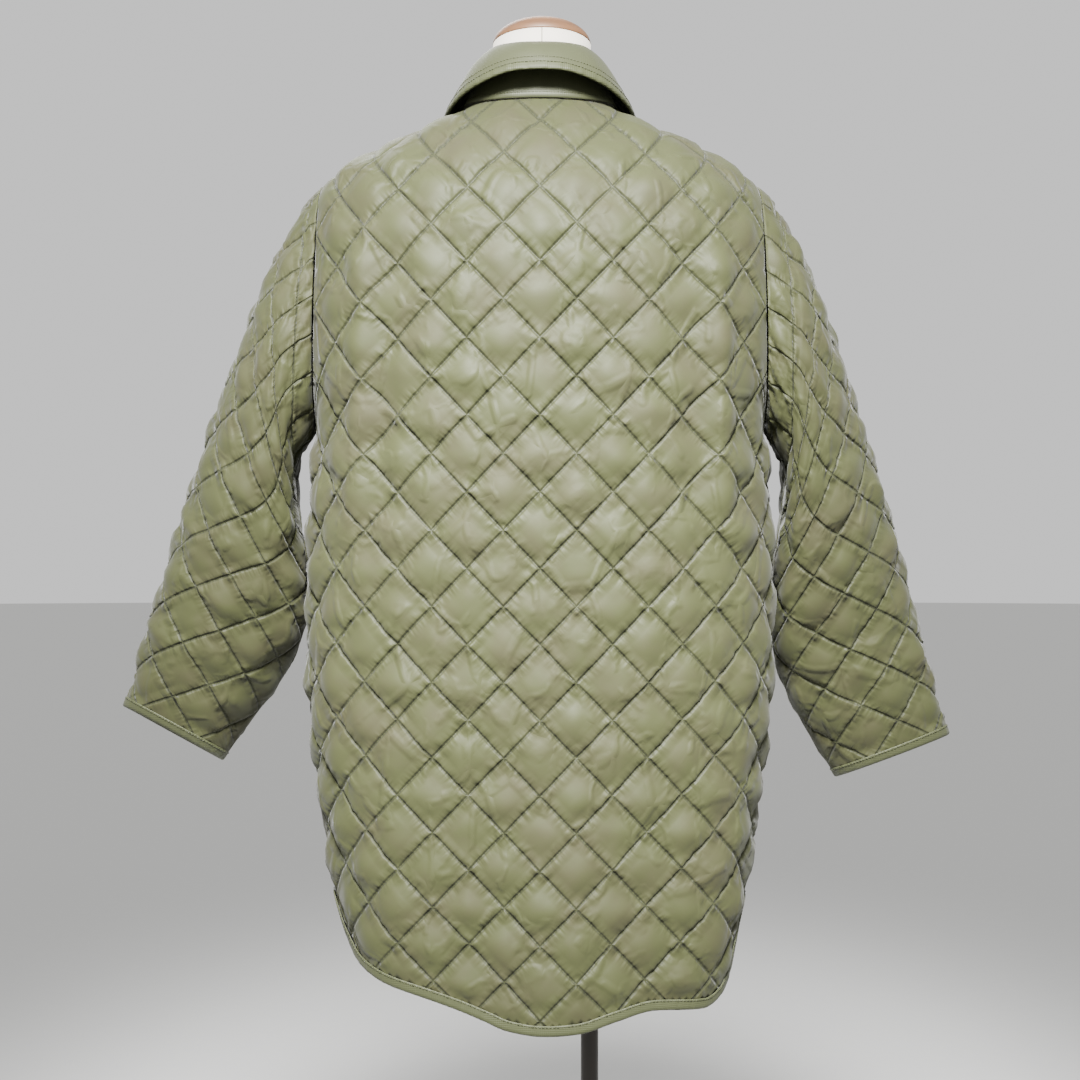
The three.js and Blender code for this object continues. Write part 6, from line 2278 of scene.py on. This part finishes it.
@dataclass
class Snaps:
    """Cap snaps down the front lap."""

    drape: BodyDrape
    steps: int = 40

    # Shares of radius and thickness, from the foot over the rolled rim to the crown
    PROFILE = (
        (0, 0), (0.9, 0), (1, 0.4 / SNAP_THICKNESS), (1, 0.42), (0.95, 0.62),
        (0.82, 0.78), (0.72, 0.72), (0.62, 0.8), (0.4, 0.96), (0, 1),
    )

    def build(self) -> None:
        """One turned cap at each height."""
        profile = [(SNAP_RADIUS * out, SNAP_THICKNESS * up) for out, up in self.PROFILE]
        for number, height in enumerate(SNAP_HEIGHTS, 1):
            s, z = np.array([SNAP_PLACE]), np.array([height])
            normal = self.drape.normal(Side.FRONT, s, z)[0]
            level = float(self.drape.fold(Side.FRONT, s, z)[0]) + CLOTH_WALL + SEAM_GAP
            spot = self.drape.point(Side.FRONT, s, z)[0] + normal * level
            bm = turned_mesh(profile, self.steps)
            turn = Vector(normal).to_track_quat("Z", "Y").to_matrix().to_4x4()
            bmesh.ops.transform(bm, matrix=Matrix.Translation(Vector(spot * MM)) @ turn, verts=bm.verts)
            seat(make_piece(f"snap_cap_{number}", bm, SNAP_PAINT), "snap", f"snap_{number}")


# Dress form


class NeckRim(NamedTuple):
    """Tilted oval at the top of the neck."""

    x: float
    y: float
    z: float
    half_width: float
    half_depth: float
    tilt: float


NECK_RIM = NeckRim(-2, -1, 1474, 52.5, 48.5, 10.6)


@dataclass
class DressForm:
    """Limbless form with its neck cap, socket, pole and base."""

    around: int = 96

    # Tuck of the cover at its foot: height and share of the width
    TUCK = ((0, 0.975), (1.5, 0.99), (5, 0.998))
    # First full ring, last ring of the table and the step between
    RING_START = 12
    RING_END = 1436
    RING_STEP = 8
    # Level where the neck starts to lean to its rim, and shares of the way up to it
    NECK_START = 1380
    NECK_SHARES = (0.34, 0.68, 1.0)
    CAP_STEPS = 24
    CAP_FOOT_SCALE = 0.985
    STAND_STEPS = 64
    BASE_STEPS = 128

    def rim(self, scale: float, rise: float) -> Array:
        """Oval over the rim of the neck.

        Args:
            scale: Its size as a share of the rim.
            rise: Its height over the rim.

        Returns:
            Points of the oval.
        """
        angle = np.linspace(0, TURN, self.around, endpoint=False)
        tilt = math.radians(NECK_RIM.tilt)
        across = NECK_RIM.half_width * scale * np.cos(angle)
        deep = NECK_RIM.half_depth * scale * np.sin(angle)
        return np.stack(
            (
                NECK_RIM.x + across,
                NECK_RIM.y + deep * math.cos(tilt) - rise * math.sin(tilt),
                NECK_RIM.z + deep * math.sin(tilt) + rise * math.cos(tilt),
            ),
            axis=-1,
        )

    def torso(self) -> None:
        """Cloth-covered body and neck."""
        angle = np.linspace(0, TURN, self.around, endpoint=False)
        half, back, front, middle = (
            Profile(FORM_SECTIONS, "z", name) for name in ("half_width", "back", "front", "y")
        )
        foot = FORM_SECTIONS[0].z
        low, tucked = np.array(self.TUCK).T
        heights = np.arange(foot + self.RING_START, self.RING_END, self.RING_STEP)
        tuck = np.concatenate((tucked, np.ones_like(heights)))
        heights = np.concatenate((foot + low, heights))
        rings = []
        for z, share in zip(heights, tuck):
            depth = np.where(np.sin(angle) > 0, back(z), front(z)) * share
            lean = NECK_RIM.x * float(ease(self.NECK_START, NECK_RIM.z, np.array(z)))
            x = lean + float(half(z)) * share * np.cos(angle)
            y = float(middle(z)) + depth * np.sin(angle)
            rings.append(np.stack((x, y, np.full_like(x, z + FORM_LIFT)), axis=-1))
        top = self.rim(1, 0)
        last = rings[-1]
        for share in self.NECK_SHARES:
            rings.append(last * (1 - share) + top * share)
        piece = make_piece("form_torso_cover", closed_mesh(np.stack(rings)), COVER)
        seat(piece, "form_cloth", "form_torso")

    def cap(self) -> None:
        """Turned wooden cap of the neck."""
        rings = [self.rim(self.CAP_FOOT_SCALE, SEAM_GAP), self.rim(1.0, SEAM_GAP + 1)]
        for step in range(1, self.CAP_STEPS + 1):
            climb = math.pi / 2 * step / self.CAP_STEPS
            rings.append(self.rim(max(math.cos(climb), 1e-5), SEAM_GAP + CAP_RISE * math.sin(climb)))
        piece = make_piece("form_cap_wood", closed_mesh(np.stack(rings)), BEECH)
        seat(piece, "cap_wood", "form_neck_cap")

    def stand(self) -> None:
        """Socket, pole and base."""
        foot = FORM_SECTIONS[0].z + FORM_LIFT - SEAM_GAP - SOCKET_HEIGHT
        narrow, plate = SOCKET_RADIUS * 0.6, SOCKET_HEIGHT - 5
        socket = (
            (0.0, 0.0),
            (narrow - 1.5, 0.0),
            (narrow, 1.5),
            (narrow, plate - 2),
            (narrow + 1.6, plate),
            (SOCKET_RADIUS - 1, plate),
            (SOCKET_RADIUS, plate + 1),
            (SOCKET_RADIUS, SOCKET_HEIGHT),
            (0.0, SOCKET_HEIGHT),
        )
        self.stand_piece("form_socket_turned", "form_socket", socket, foot, self.STAND_STEPS)
        pole_foot = BASE_THICKNESS + HUB_HEIGHT + SEAM_GAP
        height = foot - SEAM_GAP - pole_foot
        pole = [(0.0, 0.0), (POLE_RADIUS, 0.0)]
        pole += [(POLE_RADIUS, height * step / 8) for step in range(1, 9)]
        pole.append((0.0, height))
        self.stand_piece("form_pole_tube", "form_pole", pole, pole_foot, self.STAND_STEPS)
        top = BASE_THICKNESS + HUB_HEIGHT
        base = (
            (0.0, 0.0),
            (BASE_RADIUS - 1.2, 0.0),
            (BASE_RADIUS, 1.2),
            (BASE_RADIUS, BASE_THICKNESS - BASE_BEVEL),
            (BASE_RADIUS - BASE_BEVEL * 0.3, BASE_THICKNESS - BASE_BEVEL * 0.3),
            (BASE_RADIUS - BASE_BEVEL, BASE_THICKNESS),
            (HUB_RADIUS + 4, BASE_THICKNESS),
            (HUB_RADIUS + 0.6, BASE_THICKNESS + 1.2),
            (HUB_RADIUS, BASE_THICKNESS + 4),
            (HUB_RADIUS * 0.75, top - 2),
            (HUB_RADIUS * 0.75 - 1.5, top),
            (0.0, top),
        )
        self.stand_piece("form_base_plate", "form_base", base, 0.0, self.BASE_STEPS)

    @staticmethod
    def stand_piece(
        name: str, node: str, profile: Sequence[tuple[float, float]], foot: float, steps: int
    ) -> None:
        """One turned piece of the stand.

        Args:
            name: Its name.
            node: The solid that it stands for.
            profile: Radius and height of its points.
            foot: Height of its foot.
            steps: Divisions of the turn.
        """
        bm = turned_mesh(profile, steps)
        bmesh.ops.translate(bm, vec=(POLE_X * MM, POLE_Y * MM, foot * MM), verts=bm.verts)
        seat(make_piece(name, bm, STAND_PAINT), "stand_paint", node)

    def build(self) -> None:
        """The whole form."""
        self.torso()
        self.cap()
        self.stand()


@dataclass
class Studio:
    """Pale floor, soft light and the camera of the photograph."""

    floor_radius: float = 30.0
    floor_steps: int = 96
    world_strength: float = 0.85
    key_power: float = 33.0
    fill_share: float = 0.3

    # Place in metres, side in metres and beam in degrees of each light
    KEY = (Vector((0.1, 2.0, 2.6)), 0.9, 30.0)
    FILL = (Vector((0.6, -2.6, 2.8)), 1.6, 60.0)

    def floor(self) -> None:
        """Round pale floor."""
        bm = bmesh.new()
        bmesh.ops.create_circle(bm, cap_ends=True, radius=self.floor_radius, segments=self.floor_steps)
        piece = make_piece("studio_floor", bm, PAPER)

    def light(self, name: str, power: float, place: Vector, size: float, spread: float) -> None:
        """Square soft light that faces the jacket, behind a grid that narrows it.

        Args:
            name: Its name.
            power: Its power in watts.
            place: Where it stands, in metres.
            size: Its side.
            spread: Full angle of its beam in degrees.
        """
        lamp = bpy.data.lights.new(name, "AREA")
        lamp.size = size
        lamp.energy = power
        lamp.spread = math.radians(spread)
        holder = bpy.data.objects.new(name, lamp)
        holder.location = place
        target = Vector((0, 0, AIM_HEIGHT * MM))
        holder.rotation_euler = (target - place).to_track_quat("-Z", "Y").to_euler()
        bpy.context.scene.collection.objects.link(holder)

    def camera(self) -> None:
        """Level camera behind the jacket."""
        lens = bpy.data.cameras.new("photo_camera")
        lens.lens = CAMERA_LENS
        lens.sensor_width = CAMERA_SENSOR
        holder = bpy.data.objects.new("photo_camera", lens)
        holder.location = (0, CAMERA_DISTANCE * MM, CAMERA_HEIGHT * MM)
        holder.rotation_euler = (math.pi / 2, 0, math.pi)
        bpy.context.scene.collection.objects.link(holder)
        bpy.context.scene.camera = holder

    def build(self) -> None:
        """Floor, world, lights and camera."""
        self.floor()
        world = bpy.data.worlds.new("studio")
        world.use_nodes = True
        back = world.node_tree.nodes["Background"]
        back.inputs["Color"].default_value = linear("FFFFFF")
        back.inputs["Strength"].default_value = self.world_strength
        bpy.context.scene.world = world
        self.light("key_above", self.key_power, *self.KEY)
        self.light("fill_front", self.key_power * self.fill_share, *self.FILL)
        self.camera()


def main() -> None:
    """Builds the jacket, its trims, the form and the studio in order."""
    logging.basicConfig(level=logging.INFO, format="%(name)s: %(message)s")
    DressForm().build()
    drape = BodyDrape()
    body = JacketBody(drape)
    body.back()
    body.front(Hand.LEFT)
    body.front(Hand.RIGHT)
    sleeves = [
        Sleeve(drape, Hand.LEFT, LEFT_SLEEVE_SECTIONS, seed=5),
        Sleeve(drape, Hand.RIGHT, RIGHT_SLEEVE_SECTIONS, seed=9),
    ]
    for sleeve in sleeves:
        sleeve.build()
    bindings = Bindings(drape, body, sleeves).build()
    collar_binding, rows = Collar(drape, body).build()
    Topstitching([*bindings, collar_binding], rows).build()
    Snaps(drape).build()
    Studio().build()


if __name__ == "__main__":
    main()
